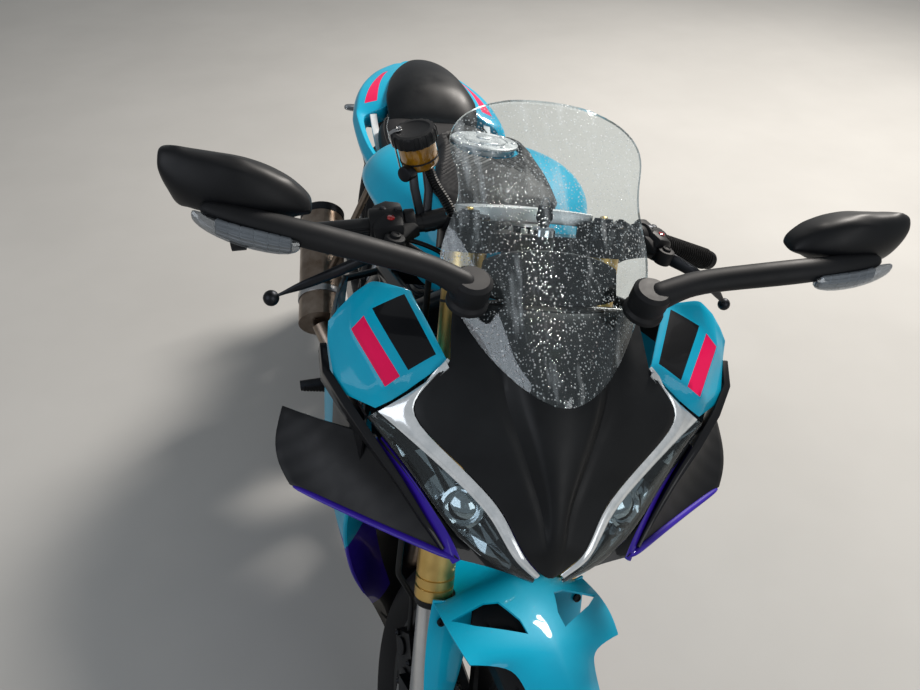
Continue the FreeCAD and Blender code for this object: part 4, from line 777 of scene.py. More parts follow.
# %% [markdown]
# The windscreen is blown from one sheet of clear polycarbonate. Seen from the front it is a bottle
# shape: a rounded tip, wings at the mirrors, a waist, and a rounded top. Rows of points bow from one
# edge over a crown to the other; the rim is finished separately because a polished edge glows.

# %% Windscreen
SCREEN_ROWS = [
    # edge point on the left, crown in the middle
    ((14, 70, 909.5), (0, 68, 909)), ((40, 85, 913), (0, 75, 917)),
    ((66, 114, 920), (0, 92, 934)), ((90, 151, 930), (0, 114, 952)),
    ((114, 194, 951), (0, 144, 977)), ((132, 231, 975), (0, 176, 1004)),
    ((124, 250, 1010), (0, 210, 1032)), ((108, 271, 1046), (0, 243, 1058)),
    ((113, 300, 1067), (0, 276, 1080)), ((123, 330, 1085), (0, 312, 1098)),
    ((113, 351, 1103), (0, 344, 1113)), ((86, 367, 1117), (0, 366, 1123)),
    ((50, 376, 1124), (0, 378, 1127))]
# places across the screen, from its right edge at -1 to its left edge at 1
SCREEN_PLACES = [k / 4 for k in range(-4, 5)]
screen_rows = []
for edge, crown in SCREEN_ROWS:
    edge, crown = Vector(edge), Vector(crown)
    screen_rows.append([Vector((edge.x * t, *(crown.yz + (edge.yz - crown.yz) * t * t)))
                        for t in SCREEN_PLACES])
screen = subdivide(grid_sheet("windscreen_sheet", screen_rows, (0, -1, 1)), 2)
screen.data.materials.append(SCREEN)
screen.data.materials.append(EDGE)
modify(screen, "SOLIDIFY", thickness=3, offset=-1, material_offset_rim=1)
settle(screen, PARKED, "chassis", "screen", None, ["windscreen"], angle=60)
print("screen faces:", len(screen.data.polygons))

# %% [markdown]
# Each upper panel is cyan lacquer over ABS with two laid-on fields: a bare black one, where a
# sticker would go, and a crimson-pink stripe. The grid's own lines run along their borders, so the
# colours end on edges of the mesh and stay crisp.

# %% Upper panels
UPPER_ROWS = [
    [(157, 222, 946), (164, 224, 948), (196, 224, 955), (205, 223, 955), (223, 217, 942), (238, 211, 925),
     (249, 206, 909)],
    [(155, 216, 943), (163, 219, 946), (205, 201, 932), (211, 196, 927), (225, 184, 915), (238, 190, 903),
     (249, 197, 891)],
    [(140, 184, 931), (149, 186, 933), (187, 171, 916), (193, 167, 911), (208, 156, 901), (222, 165, 888),
     (245, 180, 878)],
    [(123, 143, 914), (131, 146, 916), (165, 134, 898), (171, 131, 894), (188, 122, 885), (203, 128, 871),
     (241, 162, 865)],
    [(120, 139, 911), (128, 136, 905), (157, 127, 883), (163, 125, 878), (180, 120, 867), (196, 119, 857),
     (238, 152, 853)]]
upper = grid_sheet("upper_panel", UPPER_ROWS, (0.5, -0.6, 0.6))
# finish of each face: 0 cyan, 1 black field, 2 pink stripe; one text row per grid row
paint_faces(upper, [CYAN, FIELD, PINK], [int(c) for c in "000000" "010200" "010200" "000000"])
for column in (1, 2, 3, 4, 5):
    crease(upper, [line_of(UPPER_ROWS, column=column)], 0.35 if column < 4 else 0.6)
crease(upper, [line_of(UPPER_ROWS, row=1), line_of(UPPER_ROWS, row=3)], 0.7)
hold(upper, ends_of(UPPER_ROWS) + [line_of(UPPER_ROWS, row=-1)[-2]])
wall(upper, 3, 0.8)
both(upper, "upper_panel", PARKED, "chassis", "cyan", None, replaced=["upper_panels"])

# %% [markdown]
# A winglet stands out from each side of the nose: a broad blade of black plastic with moulded ribs,
# a violet painted leading edge, and a second violet trim that follows the headlight down to the same
# tip. A dark channel parts the trim from the blade.

# %% Winglets
RIBBED = moulded("ribbed_black_polypropylene", "#08090C", "#0D0F13", 0.42, 1.0, 0.02)
tree = RIBBED.node_tree
shader = next(node for node in tree.nodes if node.type == "BSDF_PRINCIPLED")
where = next(node for node in tree.nodes if node.type == "TEX_COORD")
# at scale 1 the wave texture turns 20 radians in a metre; here a radian takes 3.2 mm, a rib 20 mm
lines = put(tree, "ShaderNodeTexWave",
            {"wave_type": "BANDS", "bands_direction": "Y", "Scale": per_metre(3.2) / 20},
            [("Vector", where, "Object")])
ribs = put(tree, "ShaderNodeBump", {"Strength": 0.5, "Distance": 0.0006}, [("Height", lines, "Fac")])
tree.links.new(ribs.outputs["Normal"], shader.inputs["Normal"])

WING_INNER = [Vector(p) for p in ((100, 2, 742), (128, 40, 760), (158, 78, 782), (194, 120, 815))]
WING_OUTER = [Vector(p) for p in ((282, 133, 721), (297, 158, 730), (303, 186, 745), (294, 216, 772))]
LIP_OUT, LIP_UP = Vector((0.45, -0.8, -0.1)), Vector((0.1, -0.5, 0.85))
LIP_SECTION = [(-0.9, 0.75), (0.4, 0.6), (1.0, 0), (0.4, -0.8), (-0.9, -1.1)]
wing_rows = between(WING_INNER, WING_OUTER, 4, -7, LIP_UP)
wing = panel("winglet_blade", wing_rows, (0, -0.6, 0.8), 5, 1.2)
both(wing, "winglet_blade", PARKED, "chassis", "satin_black", RIBBED, replaced=["winglets"])
rings = []
for i, row in enumerate(wing_rows):
    thick = 7.5 - i * 0.6
    rings.append([row[0] + LIP_OUT * a * thick + LIP_UP * b * thick for a, b in LIP_SECTION])
both(skin("winglet_lip", rings, 2), "winglet_lip", PARKED, "chassis", "satin_black", VIOLET)

TRIM_IN = [Vector(p) for p in ((188, 104, 826), (148, 68, 796), (108, 20, 759), (97, 3, 741))]
TRIM_OUT = [Vector(p) for p in ((194, 112, 818), (164, 82, 789), (126, 32, 749), (106, 2, 735))]
TRIM_FACING = (0.4, -0.7, 0.4)
trim = panel("headlight_trim", between(TRIM_IN, TRIM_OUT, 2, 2, TRIM_FACING), TRIM_FACING, 5, 1.0)
both(trim, "headlight_trim", PARKED, "chassis", "satin_black", VIOLET)
channel = bar("nose_channel", [
    (253, 202, 876), (249, 172, 858), (226, 138, 841), (197, 107, 817), (166, 76, 789), (138, 44, 761),
    (116, 16, 743)], [(4, 12), (4.5, 14), (5, 14), (5, 12), (4, 9), (3, 7), (2, 4)], 1.0)
both(channel, "nose_channel", PARKED, "chassis", "satin_black", FIELD)

# %% [markdown]
# Between the headlight and the violet trim runs a black housing. It starts under the lens's lower
# edge, dips inwards and comes up again at the trim, so nothing behind it shows.

# %% Headlight housing
housing_rows = between(along(LAMP_EDGE, 7), along(TRIM_IN, 7), 3, -9, (0.3, -0.7, 0.5))
housing = panel("headlight_housing", housing_rows, TRIM_FACING, 3)
both(housing, "headlight_housing", PARKED, "chassis", "satin_black", FIELD)

# %% [markdown]
# The side fairing is one big pressed-looking panel. Its colours are masked and sprayed: a black
# shoulder, cyan, a violet band, a thin cyan line and a black foot, with one pink flash. At the front
# edge under the winglet the black reaches further down as painted shadow of the winglet. The panel is
# a smooth grid; the borders of the colours are then cut into it with planes, so they run straight
# and sharp across the curved surface.

# %% Side fairings
SIDE_ROWS = [
    [(206, 122, 843), (247, 196, 868), (236, 330, 850), (208, 490, 800), (188, 640, 690)],
    [(205, 118, 792), (245, 215, 818), (237, 366, 808), (211, 518, 752), (187, 664, 646)],
    [(204, 126, 730), (240, 240, 760), (234, 400, 760), (210, 540, 700), (184, 680, 600)],
    [(206, 148, 668), (237, 272, 700), (232, 412, 700), (209, 552, 650), (183, 688, 560)],
    [(205, 172, 610), (231, 300, 640), (229, 420, 640), (206, 560, 600), (180, 690, 520)],
    [(198, 200, 540), (224, 306, 570), (222, 426, 570), (202, 562, 535), (177, 688, 475)],
    [(186, 225, 470), (214, 310, 500), (213, 430, 500), (195, 560, 470), (172, 680, 430)],
    [(170, 244, 400), (190, 322, 415), (192, 438, 415), (180, 560, 400), (162, 668, 380)],
    [(146, 262, 332), (160, 330, 332), (165, 440, 332), (160, 560, 332), (150, 650, 332)]]
BORDERS = [
    # borders of the colours in the side view: a point (y, z) of each, and the way it faces
    # the second border is the rear edge of the painted shadow of the winglet at the front
    ((300, 818), (0.28, 1)), ((228, 750), (4.0, 1)), ((300, 490), (0.42, 1)), ((300, 474), (0.42, 1))]
# the air outlet, a slanted opening in the cyan field: its front, rear, lower and upper edge
OUTLET = [((436, 660), (1, 0.45)), ((556, 660), (1, 0.45)), ((480, 630), (0.25, 1)), ((480, 724), (0.25, 1))]
# how far down the painted shadow of the winglet reaches at the front edge, and where the pink flash starts
WINGLET_SHADOW_FOOT, FLASH_START = 640, 290


def cut_along(obj, borders):
    """Cuts a panel's faces along borders, right across it."""
    for (y, z), facing in borders:
        edit_all(obj)
        bpy.ops.mesh.bisect(plane_co=(0, y, z), plane_no=Vector((0, *facing)).normalized())
    return use(obj)


def beyond(middle, border):
    """Whether a point of a panel lies on the side that a border faces."""
    (y, z), (facing_y, facing_z) = border
    return (middle.y - y) * facing_y + (middle.z - z) * facing_z > 0


def side_colour(middle):
    """The number of a face's finish: 0 black, on the shoulder and as painted winglet shadow, 1 pink, 2 cyan,
    3 violet.
    """
    top, rearward, over_flash, over_violet = (beyond(middle, border) for border in BORDERS)
    # the black shoulder on top, and at the front edge below it the same black as painted shadow of the
    # winglet
    if top or (not rearward and middle.z > WINGLET_SHADOW_FOOT):
        return 0
    if over_flash:
        return 2
    if over_violet:
        return 1 if middle.y > FLASH_START else 2
    return 3


def in_outlet(middle):
    """Whether a face lies in the air outlet."""
    front, rear, low, high = (beyond(middle, border) for border in OUTLET)
    return front and not rear and low and not high


side = grid_sheet("side_fairing", SIDE_ROWS, (1, 0, 0))
hold(side, ends_of(SIDE_ROWS))
crease(side, [line_of(SIDE_ROWS, column=0)], 0.6)
crease(side, [line_of(SIDE_ROWS, row=2)], 0.4)
cut_along(subdivide(side, 3), BORDERS)
paint_faces(side, [FIELD, PINK, CYAN, VIOLET], [side_colour(middle) for middle in middles_of(side)])
cut_along(side, OUTLET)
pick(side, lambda middle, normal: in_outlet(middle))
bpy.ops.mesh.delete(type="FACE")
thicken(use(side), 3)
both(side, "side_fairing", PARKED, "chassis", "cyan", None, replaced=["side_fairings"])
print("side fairing cut by", len(BORDERS), "colour borders")

# %% [markdown]
# Each fairing turns in at its front edge and runs back to the radiator, so that air can't spill out
# between them. The colours run on over that duct wall.

# %% Duct walls
FRONT_EDGE = [
    (204, 126, 730), (206, 148, 668), (205, 172, 610), (198, 200, 540), (186, 225, 470), (170, 244, 400),
    (146, 262, 332), (121, 299, 258), (90, 301, 180)]
DUCT_END = [
    (178, 316, 716), (166, 320, 668), (158, 322, 610), (152, 324, 540), (142, 327, 470), (128, 330, 400),
    (112, 334, 332), (88, 336, 262), (66, 336, 190)]
DUCT_BORDERS = [((300, 262), (0.1, 1)), ((240, 498), (0.25, 1)), ((240, 700), (0.3, 1))]


def duct_colour(middle):
    """The number of a face's finish: 0 black, 1 cyan, 2 violet."""
    over_foot, over_violet, high = (beyond(middle, border) for border in DUCT_BORDERS)
    return 0 if high or not over_foot else 1 if over_violet else 2


duct_rows = between(along(FRONT_EDGE, 13), along(DUCT_END, 13), 6, 8, (0, -1, 0))
duct = hold(grid_sheet("duct_wall", duct_rows, (0, -1, 0)), ends_of(duct_rows))
cut_along(subdivide(duct, 2), DUCT_BORDERS)
paint_faces(duct, [FIELD, CYAN, VIOLET], [duct_colour(middle) for middle in middles_of(duct)])
both(thicken(duct, 2.5), "duct_wall", PARKED, "chassis", "cyan", None)

# %% [markdown]
# Under the engine the two sides meet in a belly pan. Its walls carry the violet on down to a thin
# cyan line, and its foot is black.

# %% Belly pan
SEAM = [Vector(p) for p in ((160, 330, 329), (165, 440, 329), (160, 560, 329), (150, 650, 329))]
# how far out of the seam and how far over the bottom each point of a section lies
BELLY_SECTION = [(0, 0), (0.4, 6), (0.72, 42), (0.95, 110)]
BELLY_BORDERS = [((300, 240), (0.1, 1)), ((300, 262), (0.1, 1))]
belly_rows = [[(0, 304, 168), (52, 303, 171), (90, 301, 196), (121, 300, 258), (148, 297, 329)]]
for point, deep in zip(SEAM, (172, 156, 148, 152)):
    belly_rows.append([(point.x * out, point.y, deep + up) for out, up in BELLY_SECTION] + [point])
belly_rows = mirrored_rows(belly_rows)
belly = hold(grid_sheet("belly_pan_skin", belly_rows, (0, 0, -1)), ends_of(belly_rows))
cut_along(subdivide(belly, 3), BELLY_BORDERS)
paint_faces(belly, [SATIN, CYAN, VIOLET],
            [sum(beyond(middle, border) for border in BELLY_BORDERS) for middle in middles_of(belly)])
settle(thicken(belly, 3), PARKED, "chassis", "satin_black", None, ["belly_pan"])

# %% [markdown]
# The front fender is cyan lacquered ABS that hugs the tyre: a long crown, a wide saddle between the
# fork legs, and two guards that come down in front of the legs. It is drawn on a drum round the
# axle: each row is an angle from straight up, positive forwards, and each point a place across it.

# %% Fender
FENDER_REACH = 309.0
FENDER_TABLE = [
    # degrees from straight up, half width, how far the edge drops
    (-56, 52, 30), (-44, 60, 30), (-32, 66, 29), (-24, 69, 27), (-19.5, 74, 24), (-17.5, 114, 20),
    (-10, 117, 18), (-3, 115, 18), (2.5, 108, 19), (5, 60, 17), (9, 52, 18), (15, 47, 20), (24, 47, 22),
    (38, 48, 24), (54, 42, 22)]
# share of the width, share of the drop, extra height
FENDER_SECTION = [(0, 0, 1.5), (0.3, 0.1, 0), (0.56, 0.34, 0), (0.8, 0.66, 0), (1.0, 1.0, 0)]


def on_drum(across, degrees, height):
    """A point of the fender in the wheel's own frame."""
    angle = math.radians(degrees)
    return Vector((across, -height * math.sin(angle), height * math.cos(angle)))


fender_rows = mirrored_rows([
    [on_drum(half * out, degrees, FENDER_REACH - drop * fall + peak) for out, fall, peak in FENDER_SECTION]
    for degrees, half, drop in FENDER_TABLE])
fender = grid_sheet("fender_crown", fender_rows, (0, 0, 1))
# firm corners at both ends of the fender, and at the front and the rear of its saddle
hold(fender, ends_of(fender_rows, 0, 5, 8, 14))
crease(fender, [line_of(fender_rows, column=4)], 0.3)
subdivide(fender, 2)
# each side opening is a slanted window between the saddle and the crown
WINDOW = [(108, 50), (60, 62), (42, 58), (28, 24), (27, 2), (84, 32)]
for side_sign in (1, -1):
    cutter = thicken(outline("window_cutter", [(side_sign * x, y, 180) for x, y in WINDOW]), 200, 0)
    edit_all(cutter)
    bpy.ops.mesh.normals_make_consistent(inside=False)
    move(use(cutter), 0, 0, 100)
    modify(fender, "BOOLEAN", object=cutter, operation="DIFFERENCE", solver="FAST")
    bpy.data.objects.remove(cutter)
settle(thicken(fender, 3), FRONT_WHEEL, "steering", "cyan", CYAN, ["front_fender"])

GUARD_FRONT, GUARD_BULGE = -34, 9
GUARD_ROWS = [
    [(60, 282), (88, 288), (115, 290)], [(55, 262), (90, 264), (119, 256)],
    [(60, 214), (93, 214), (119, 206)], [(68, 166), (95, 166), (117, 160)],
    [(81, 120), (97, 120), (112, 116)], [(91, 90), (96, 88), (102, 92)]]
guard_rows = [[Vector((x, GUARD_FRONT - GUARD_BULGE * (1 - abs(i - 1)), z)) for i, (x, z) in enumerate(row)]
              for row in GUARD_ROWS]
guard = hold(grid_sheet("fender_guard", guard_rows, (0, -1, 0)), ends_of(guard_rows, 0))
both(wall(guard, 3, 0.8), "fender_guard", ALONG_FORK, "steering", "cyan", CYAN)
bolt = screw("fender_bolt", Vector((104, -40, 262)), (0, -1, 0), 6, 3)
both(bolt, "fender_bolt", ALONG_FORK, "steering", "steel", DARK_STEEL)


# %% [markdown]
# A mirror shell is grained black polypropylene, flat-sided with rounded edges, on a swept arm. The
# shell is a skin over measured sections; the face towards the rider is inset for the glass, and
# creased subdivision rounds the facets. The arm's flasher is a clear lens over a bright reflector.

# %% Mirror shells and arms
MIRROR_ROWS = [
    # x, front y, rear y, bottom z, top z
    (276, 196, 222, 1046, 1055), (279, 192, 226, 1044, 1062), (290, 185, 232, 1041, 1074),
    (308, 178, 237, 1040, 1087), (333, 174, 242, 1036, 1099), (372, 178, 247, 1034, 1102),
    (400, 187, 249, 1033, 1102), (418, 198, 246, 1050, 1101), (425.2, 206, 240, 1068, 1096),
    (426.6, 210, 236, 1077, 1090)]
rings = []
for x, front, rear, low, high in MIRROR_ROWS:
    tall, deep = high - low, rear - front
    rings.append([
        (x, front, low + tall * 0.42), (x, front + deep * 0.22, high - tall * 0.1),
        (x, front + deep * 0.42, high), (x, rear - 3, high - tall * 0.24), (x, rear, high - tall * 0.3),
        (x, rear, low + 3), (x, rear - 3, low), (x, front + deep * 0.25, low)])
shell = skin("mirror_shell", rings, levels=0)
crease(shell, [line_of(rings, column=j) for j in (1, 2, 3, 4, 5, 6)], 0.92)
subdivide(shell, 3)
# the face towards the rider, without its rounded ends
pick(shell, lambda middle, normal: normal.y > 0.93 and 292 < middle.x < 414)
bpy.ops.mesh.inset(thickness=1.6, depth=-1.6)
use(shell)
both(shell, "mirror_shell", PARKED, "chassis", "satin_black", MIRROR_BLACK, replaced=["mirrors"], angle=28)
rings = []
for x, front, rear, low, high in MIRROR_ROWS[2:8]:
    tall = high - low
    rings.append([(x, rear - 2.5, high - tall * 0.3 - 4), (x, rear - 0.5, high - tall * 0.3 - 4),
                  (x, rear - 0.5, low + 7), (x, rear - 2.5, low + 7)])
mirror_face = skin("mirror_face", rings, levels=0)
both(mirror_face, "mirror_face", PARKED, "chassis", "mirror", GLASS, replaced=["mirror_glasses"])

ARM_ROWS = [
    # x, y, z of the middle, half height, half depth
    (100, 164, 990, 19, 17), (112, 165, 993, 19, 17), (136, 171, 1004, 15, 16), (162, 176, 1012, 13, 15),
    (220, 171, 1027, 14, 15), (284, 167, 1042, 15, 15), (340, 175, 1049, 12, 13), (388, 184, 1054, 9, 10)]
ARM_SECTION = [(-1, -0.2), (-0.75, 0.5), (-0.1, 1), (0.8, 0.8), (1, 0), (0.8, -0.8), (0, -1), (-0.8, -0.8)]
rings = [[(x, y + deep * a, z + tall * b) for a, b in ARM_SECTION] for x, y, z, tall, deep in ARM_ROWS]
arm = skin("mirror_arm", rings, levels=2)
foot = turned("mirror_foot", [
    (0.01, 0), (24, 0), (24, 5), (21, 9), (21, 14), (22.5, 17), (22.5, 34), (18, 38), (0.01, 38)], 28)
shift(foot, aim((104, 172, 968), (0, -8, 38)))
arm = join("mirror_arm", [arm, foot])
both(arm, "mirror_arm", PARKED, "chassis", "satin_black", PLASTIC, replaced=["mirrors"])

LENS_ROWS = [(286, 151, 1037, 0.55), (296, 152, 1034, 1.15), (318, 155, 1035, 1.4), (345, 159, 1038, 1.4),
             (368, 163, 1043, 1.2), (385, 167, 1049, 0.95), (392, 170, 1053, 0.5)]
LENS_SECTION = [(-1, 10), (-5, 1), (-3, -8), (8, -11), (11, -2), (9, 7)]
rings = [[(x, y + a * s, z + b * s) for a, b in LENS_SECTION] for x, y, z, s in LENS_ROWS]
lens = skin("flasher_lens", rings, levels=1)
both(lens, "flasher_lens", PARKED, "chassis", "lens", SMOKED, replaced=["flashers"])
rings = [[(x, y + 3 + a * s * 0.55, z + b * s * 0.7) for a, b in LENS_SECTION]
         for x, y, z, s in LENS_ROWS[1:5]]
bright = skin("flasher_reflector", rings, levels=0)
modify(bright, "SUBSURF", levels=1, render_levels=1, subdivision_type="SIMPLE")
edit_all(bright)
bpy.ops.mesh.inset(thickness=0.9, depth=0.9, use_individual=True)
both(use(bright), "flasher_reflector", PARKED, "chassis", "lens", MACHINED)
print("mirror shell faces:", len(shell.data.polygons))

# %% [markdown]
# The tank is pressed steel under cyan lacquer: wide shoulders, a knee hollow below them, and a black
# ribbed cover along its middle with the filler cap sunk in it. The tank is a skin over cross
# sections. Its cover is a dense sheet laid 6.5 mm above the same sections, and the diagonal ribs are
# pushed into that sheet point by point, because a real edge catches the light where a bump can't.

# %% Tank
TANK_ROWS = [
    # y, base half, base z, shoulder half, shoulder z, top z
    (424, 62, 790, 78, 872, 914), (430, 64, 787, 86, 873, 918), (486, 84, 760, 140, 884, 944),
    (548, 90, 756, 172, 889, 955), (610, 92, 756, 186, 888, 960), (668, 91, 754, 183, 878, 952),
    (720, 88, 754, 166, 862, 934), (766, 84, 762, 136, 840, 898), (802, 80, 770, 104, 816, 858),
    (828, 75, 781, 86, 801, 828), (833, 74, 783, 84, 800, 824)]
# how far out and how far down from the top each point of a section lies
TANK_SECTION = [(0, 0), (0.3, 0.03), (0.56, 0.14), (0.78, 0.33), (0.93, 0.62), (1.0, 1.0)]


def tank_half(row):
    """The left half of a cross section, from the top down to the base."""
    y, base, base_z, side, side_z, top = row
    half = [(side * out, y, top - (top - side_z) * down) for out, down in TANK_SECTION]
    knee = (base + (side - base) * 0.45, y, base_z + (side_z - base_z) * 0.42)
    return half + [(side * 0.97, y, side_z - 10), knee, (base, y, base_z)]


tank = skin("tank_shell", mirrored_rows([tank_half(row) for row in TANK_ROWS]), levels=2)
settle(tank, PARKED, "chassis", "cyan", CYAN, ["fuel_tank"], angle=50)


def mixed(table, y):
    """Values of a table row at a station between its rows."""
    i = max(k for k in range(len(table) - 1) if table[k][0] <= y)
    share = min(max((y - table[i][0]) / (table[i + 1][0] - table[i][0]), 0), 1)
    return [a + (b - a) * share for a, b in zip(table[i], table[i + 1])]


def tank_top(x, y):
    """Height of the tank's surface over a point of its plan."""
    y, base, base_z, side, side_z, top = mixed(TANK_ROWS, y)
    out = min(abs(x) / side, 1)
    i = max(k for k in range(len(TANK_SECTION) - 1) if TANK_SECTION[k][0] <= out)
    (a, down_a), (b, down_b) = TANK_SECTION[i], TANK_SECTION[i + 1]
    down = down_a + (down_b - down_a) * (out - a) / (b - a)
    return top - (top - side_z) * down


CAP_MIDDLE, CAP_RADIUS, CAP_SEAT = Vector((0, 628, 951)), 53, 953
COVER_PLAN = [(424, 60), (500, 94), (560, 84), (600, 76), (655, 73), (690, 52), (704, 30)]
COVER_START, COVER_END = COVER_PLAN[0][0], COVER_PLAN[-1][0]
COVER_STEPS, COVER_COLUMNS, COVER_LIFT = 120, 32, 6.5
ROLLED_EDGE, EDGE_SLOPE = 6, 1.1
RIB_PITCH, RIB_DEEP, RIB_SLANT = 8.0, 1.1, 0.9
rows = []
for i in range(COVER_STEPS + 1):
    y = COVER_START + (COVER_END - COVER_START) * i / COVER_STEPS
    half = mixed(COVER_PLAN, y)[1]
    row = []
    for j in range(2 * COVER_COLUMNS + 1):
        u = -1 + j / COVER_COLUMNS
        x = u * half
        z = tank_top(x, y) + COVER_LIFT
        edge = min((1 - abs(u)) * half, y - COVER_START, COVER_END - y)
        if edge < ROLLED_EDGE:
            z -= (ROLLED_EDGE - edge) * EDGE_SLOPE
        if math.hypot(x, y - CAP_MIDDLE.y) < CAP_RADIUS + 5:
            z = min(z, CAP_SEAT)
        elif edge > 8 and (y + abs(x) * RIB_SLANT) / RIB_PITCH % 1.0 < 0.5:
            z += RIB_DEEP
        row.append((x, y, z))
    rows.append(row)
cover = thicken(grid_sheet("tank_cover_sheet", rows, (0, 0, 1)), 2.5)
settle(cover, PARKED, "chassis", "satin_black", PLASTIC, ["tank_cover"])

# %% [markdown]
# The filler cap is a machined and clear-anodised ring with seven socket screws, and a hinged lid
# with a dust flap over its keyhole.

# %% Filler cap
parts = [turned("filler_cap", [
    (0.01, 0), (44, 0), (44, 9), (CAP_RADIUS - 1, 9), (CAP_RADIUS, 10), (CAP_RADIUS, 13),
    (CAP_RADIUS - 1.5, 14.5), (37, 15), (36, 13.4), (34, 13.4), (33, 15.6), (12, 16.4), (0.01, 16.6)], 64)]
CAP_SCREWS, SCREW_REACH = 7, 44.5
for k in range(CAP_SCREWS):
    angle = math.radians(k * 360 / CAP_SCREWS + 14)
    place = (SCREW_REACH * math.cos(angle), SCREW_REACH * math.sin(angle), 14)
    parts.append(screw("cap_screw", place, (0, 0, 1), 3.6, 2.2))
flap = drum("cap_flap", (0, -6, 16), (0, -6, 18.4), 12, 0.8, 28)
hinge = bar("cap_hinge", [(-14, 31, 16), (14, 31, 16)], [(3.4, 2.4)], 0.8)
cap = join("filler_cap", parts + [flap, hinge])
settle(cap, PARKED @ aim(CAP_MIDDLE, (0, 0.17, 1)), "chassis", "alloy", MACHINED, ["fuel_cap"])
print("tank cover ribs every", RIB_PITCH, "mm, cap screws:", CAP_SCREWS)

# %% [markdown]
# The rider's seat is polyurethane foam under grained vinyl, glued and stapled to a base. It is a
# closed crowned form that pulls in towards its base, with two sewn seams along the top edges. A few
# millimetres of crown matter more than folds on so firm a pad, so it is shaped by its sections and
# subdivided, not run as cloth.

# %% Rider's seat
SEAT_ROWS = [
    # y, base half, base z, side half, side z, crown z
    (836, 62, 759, 80, 790, 806), (842, 66, 758, 88, 795, 813), (900, 84, 758, 113, 793, 809),
    (960, 87, 759, 121, 794, 810), (1010, 88, 761, 122, 797, 813), (1048, 85, 762, 115, 801, 819),
    (1055, 83, 763, 108, 800, 817)]
SEAT_SECTION = [(0, -2.5), (0.34, 0.5), (0.62, 1.0), (0.86, -2.5)]
halves = []
for y, base, base_z, side, side_z, crown in SEAT_ROWS:
    half = [(side * out, y, crown + up) for out, up in SEAT_SECTION]
    halves.append(half + [(side, y, side_z), (side - 5, y, side_z - 14), (base, y, base_z)])
seat = skin("seat_cushion", mirrored_rows(halves), levels=2)
settle(seat, PARKED, "chassis", "seat", VINYL, ["rider_seat"], angle=60)
seam_line = [(side * 0.9, y, crown - 2.4) for y, base, base_z, side, side_z, crown in SEAT_ROWS[1:]]
both(hose("seat_seam", seam_line, 1.5), "seat_seam", PARKED, "chassis", "seat", GRIP_RUBBER)
STITCHES, STITCH_START, STITCH_PITCH = 34, 846, 6
stitches = []
for k in range(STITCHES):
    y, base, base_z, side, side_z, crown = mixed(SEAT_ROWS, STITCH_START + k * STITCH_PITCH)
    start = Vector((side * 0.86 - 2.5, y, crown - 0.8))
    stitches.append(hose("stitch", [start, start + Vector((0, 2, 0.7)), start + Vector((0, 4, 0))], 0.45, 1))
both(join("seat_stitching", stitches), "seat_stitching", PARKED, "chassis", "seat", PALE)
print("seat faces:", len(seat.data.polygons))

# %% [markdown]
# Behind the seat stands a hump where a pillion would sit: one smooth satin black moulding with a
# brow across it. Below it on each side the cyan tail runs back: first a narrow hollow loop, then a
# panel that closes against the hump, with a pink wedge laid on it, masked by the mesh's own edges.

# %% Seat hump
HUMP_ROWS = [
    # y, base half, base z, side half, side z, top z
    (1056, 80, 781, 88, 800, 808), (1060, 84, 780, 93, 808, 826), (1088, 85, 781, 97, 822, 850),
    (1112, 85, 782, 98, 830, 865), (1134, 84, 784, 97, 834, 871), (1190, 78, 788, 89, 836, 877),
    (1250, 65, 794, 74, 837, 871), (1296, 46, 800, 54, 836, 862), (1320, 34, 804, 40, 834, 854),
    (1330, 24, 806, 29, 832, 848)]
hump_rows = mirrored_rows([
    [(0, y, top), (side * 0.36, y, top - 1.5), (side * 0.66, y, top - (top - side_z) * 0.24),
     (side * 0.88, y, top - (top - side_z) * 0.62), (side, y, side_z), (base + 1, y, base_z)]
    for y, base, base_z, side, side_z, top in HUMP_ROWS])
hump = grid_sheet("hump_shell", hump_rows, (0, 0, 1))
# firmer edges above the base on both sides, and a brow across the hump
crease(hump, [line_of(hump_rows, column=1), line_of(hump_rows, column=9)], 0.35)
crease(hump, [line_of(hump_rows, row=4)], 0.25)
settle(wall(hump, 3, 0.6), PARKED, "chassis", "satin_black", SATIN, ["seat_hump"], angle=50)

# %% Tail
TAIL_ROWS = [
    # y, then (x, z): inner edge, two borders of the wedge, ridge, outer side, foot, inner foot
    (862, (86, 776), (89, 777), (92, 779), (96, 781), (104, 764), (98, 742), (86, 742)),
    (872, (92, 778), (95, 779), (98, 781), (103, 783), (111, 766), (104, 744), (92, 744)),
    (930, (126, 786), (130, 788), (134, 790), (138, 791), (146, 774), (138, 752), (126, 752)),
    (1010, (139, 792), (143, 794), (147, 796), (151, 797), (159, 780), (151, 758), (139, 758)),
    (1084, (144, 797), (148, 799), (152, 801), (157, 802), (164, 785), (156, 763), (144, 763)),
    (1098, (136, 800), (142, 801), (148, 802), (157, 803), (164, 786), (156, 764), (140, 768)),
    (1108, (92, 817), (118, 810), (140, 806), (156, 804), (163, 788), (155, 765), (92, 784)),
    (1124, (88, 827), (114, 819), (141, 809), (155, 805), (162, 789), (154, 766), (88, 786)),
    (1190, (78, 836), (108, 826), (130, 816), (148, 809), (155, 793), (147, 771), (80, 794)),
    (1250, (62, 838), (96, 827), (110, 820), (134, 811), (141, 796), (132, 776), (64, 798)),
    (1300, (42, 836), (79, 826), (86, 822), (114, 812), (121, 799), (112, 781), (46, 800)),
    (1340, (20, 828), (58, 822), (66, 820), (94, 813), (101, 801), (92, 784), (33, 800)),
    (1400, (3, 818), (18, 817), (26, 816), (50, 812), (56, 803), (48, 788), (4, 796)),
    (1408, (3, 815), (15, 814), (22, 813), (44, 810), (49, 803), (42, 790), (4, 797))]
WEDGE_START, WEDGE_END, WEDGE_FOOT = 1124, 1300, 800
tail = skin("tail_loop", [[(x, row[0], z) for x, z in row[1:]] for row in TAIL_ROWS], levels=0)


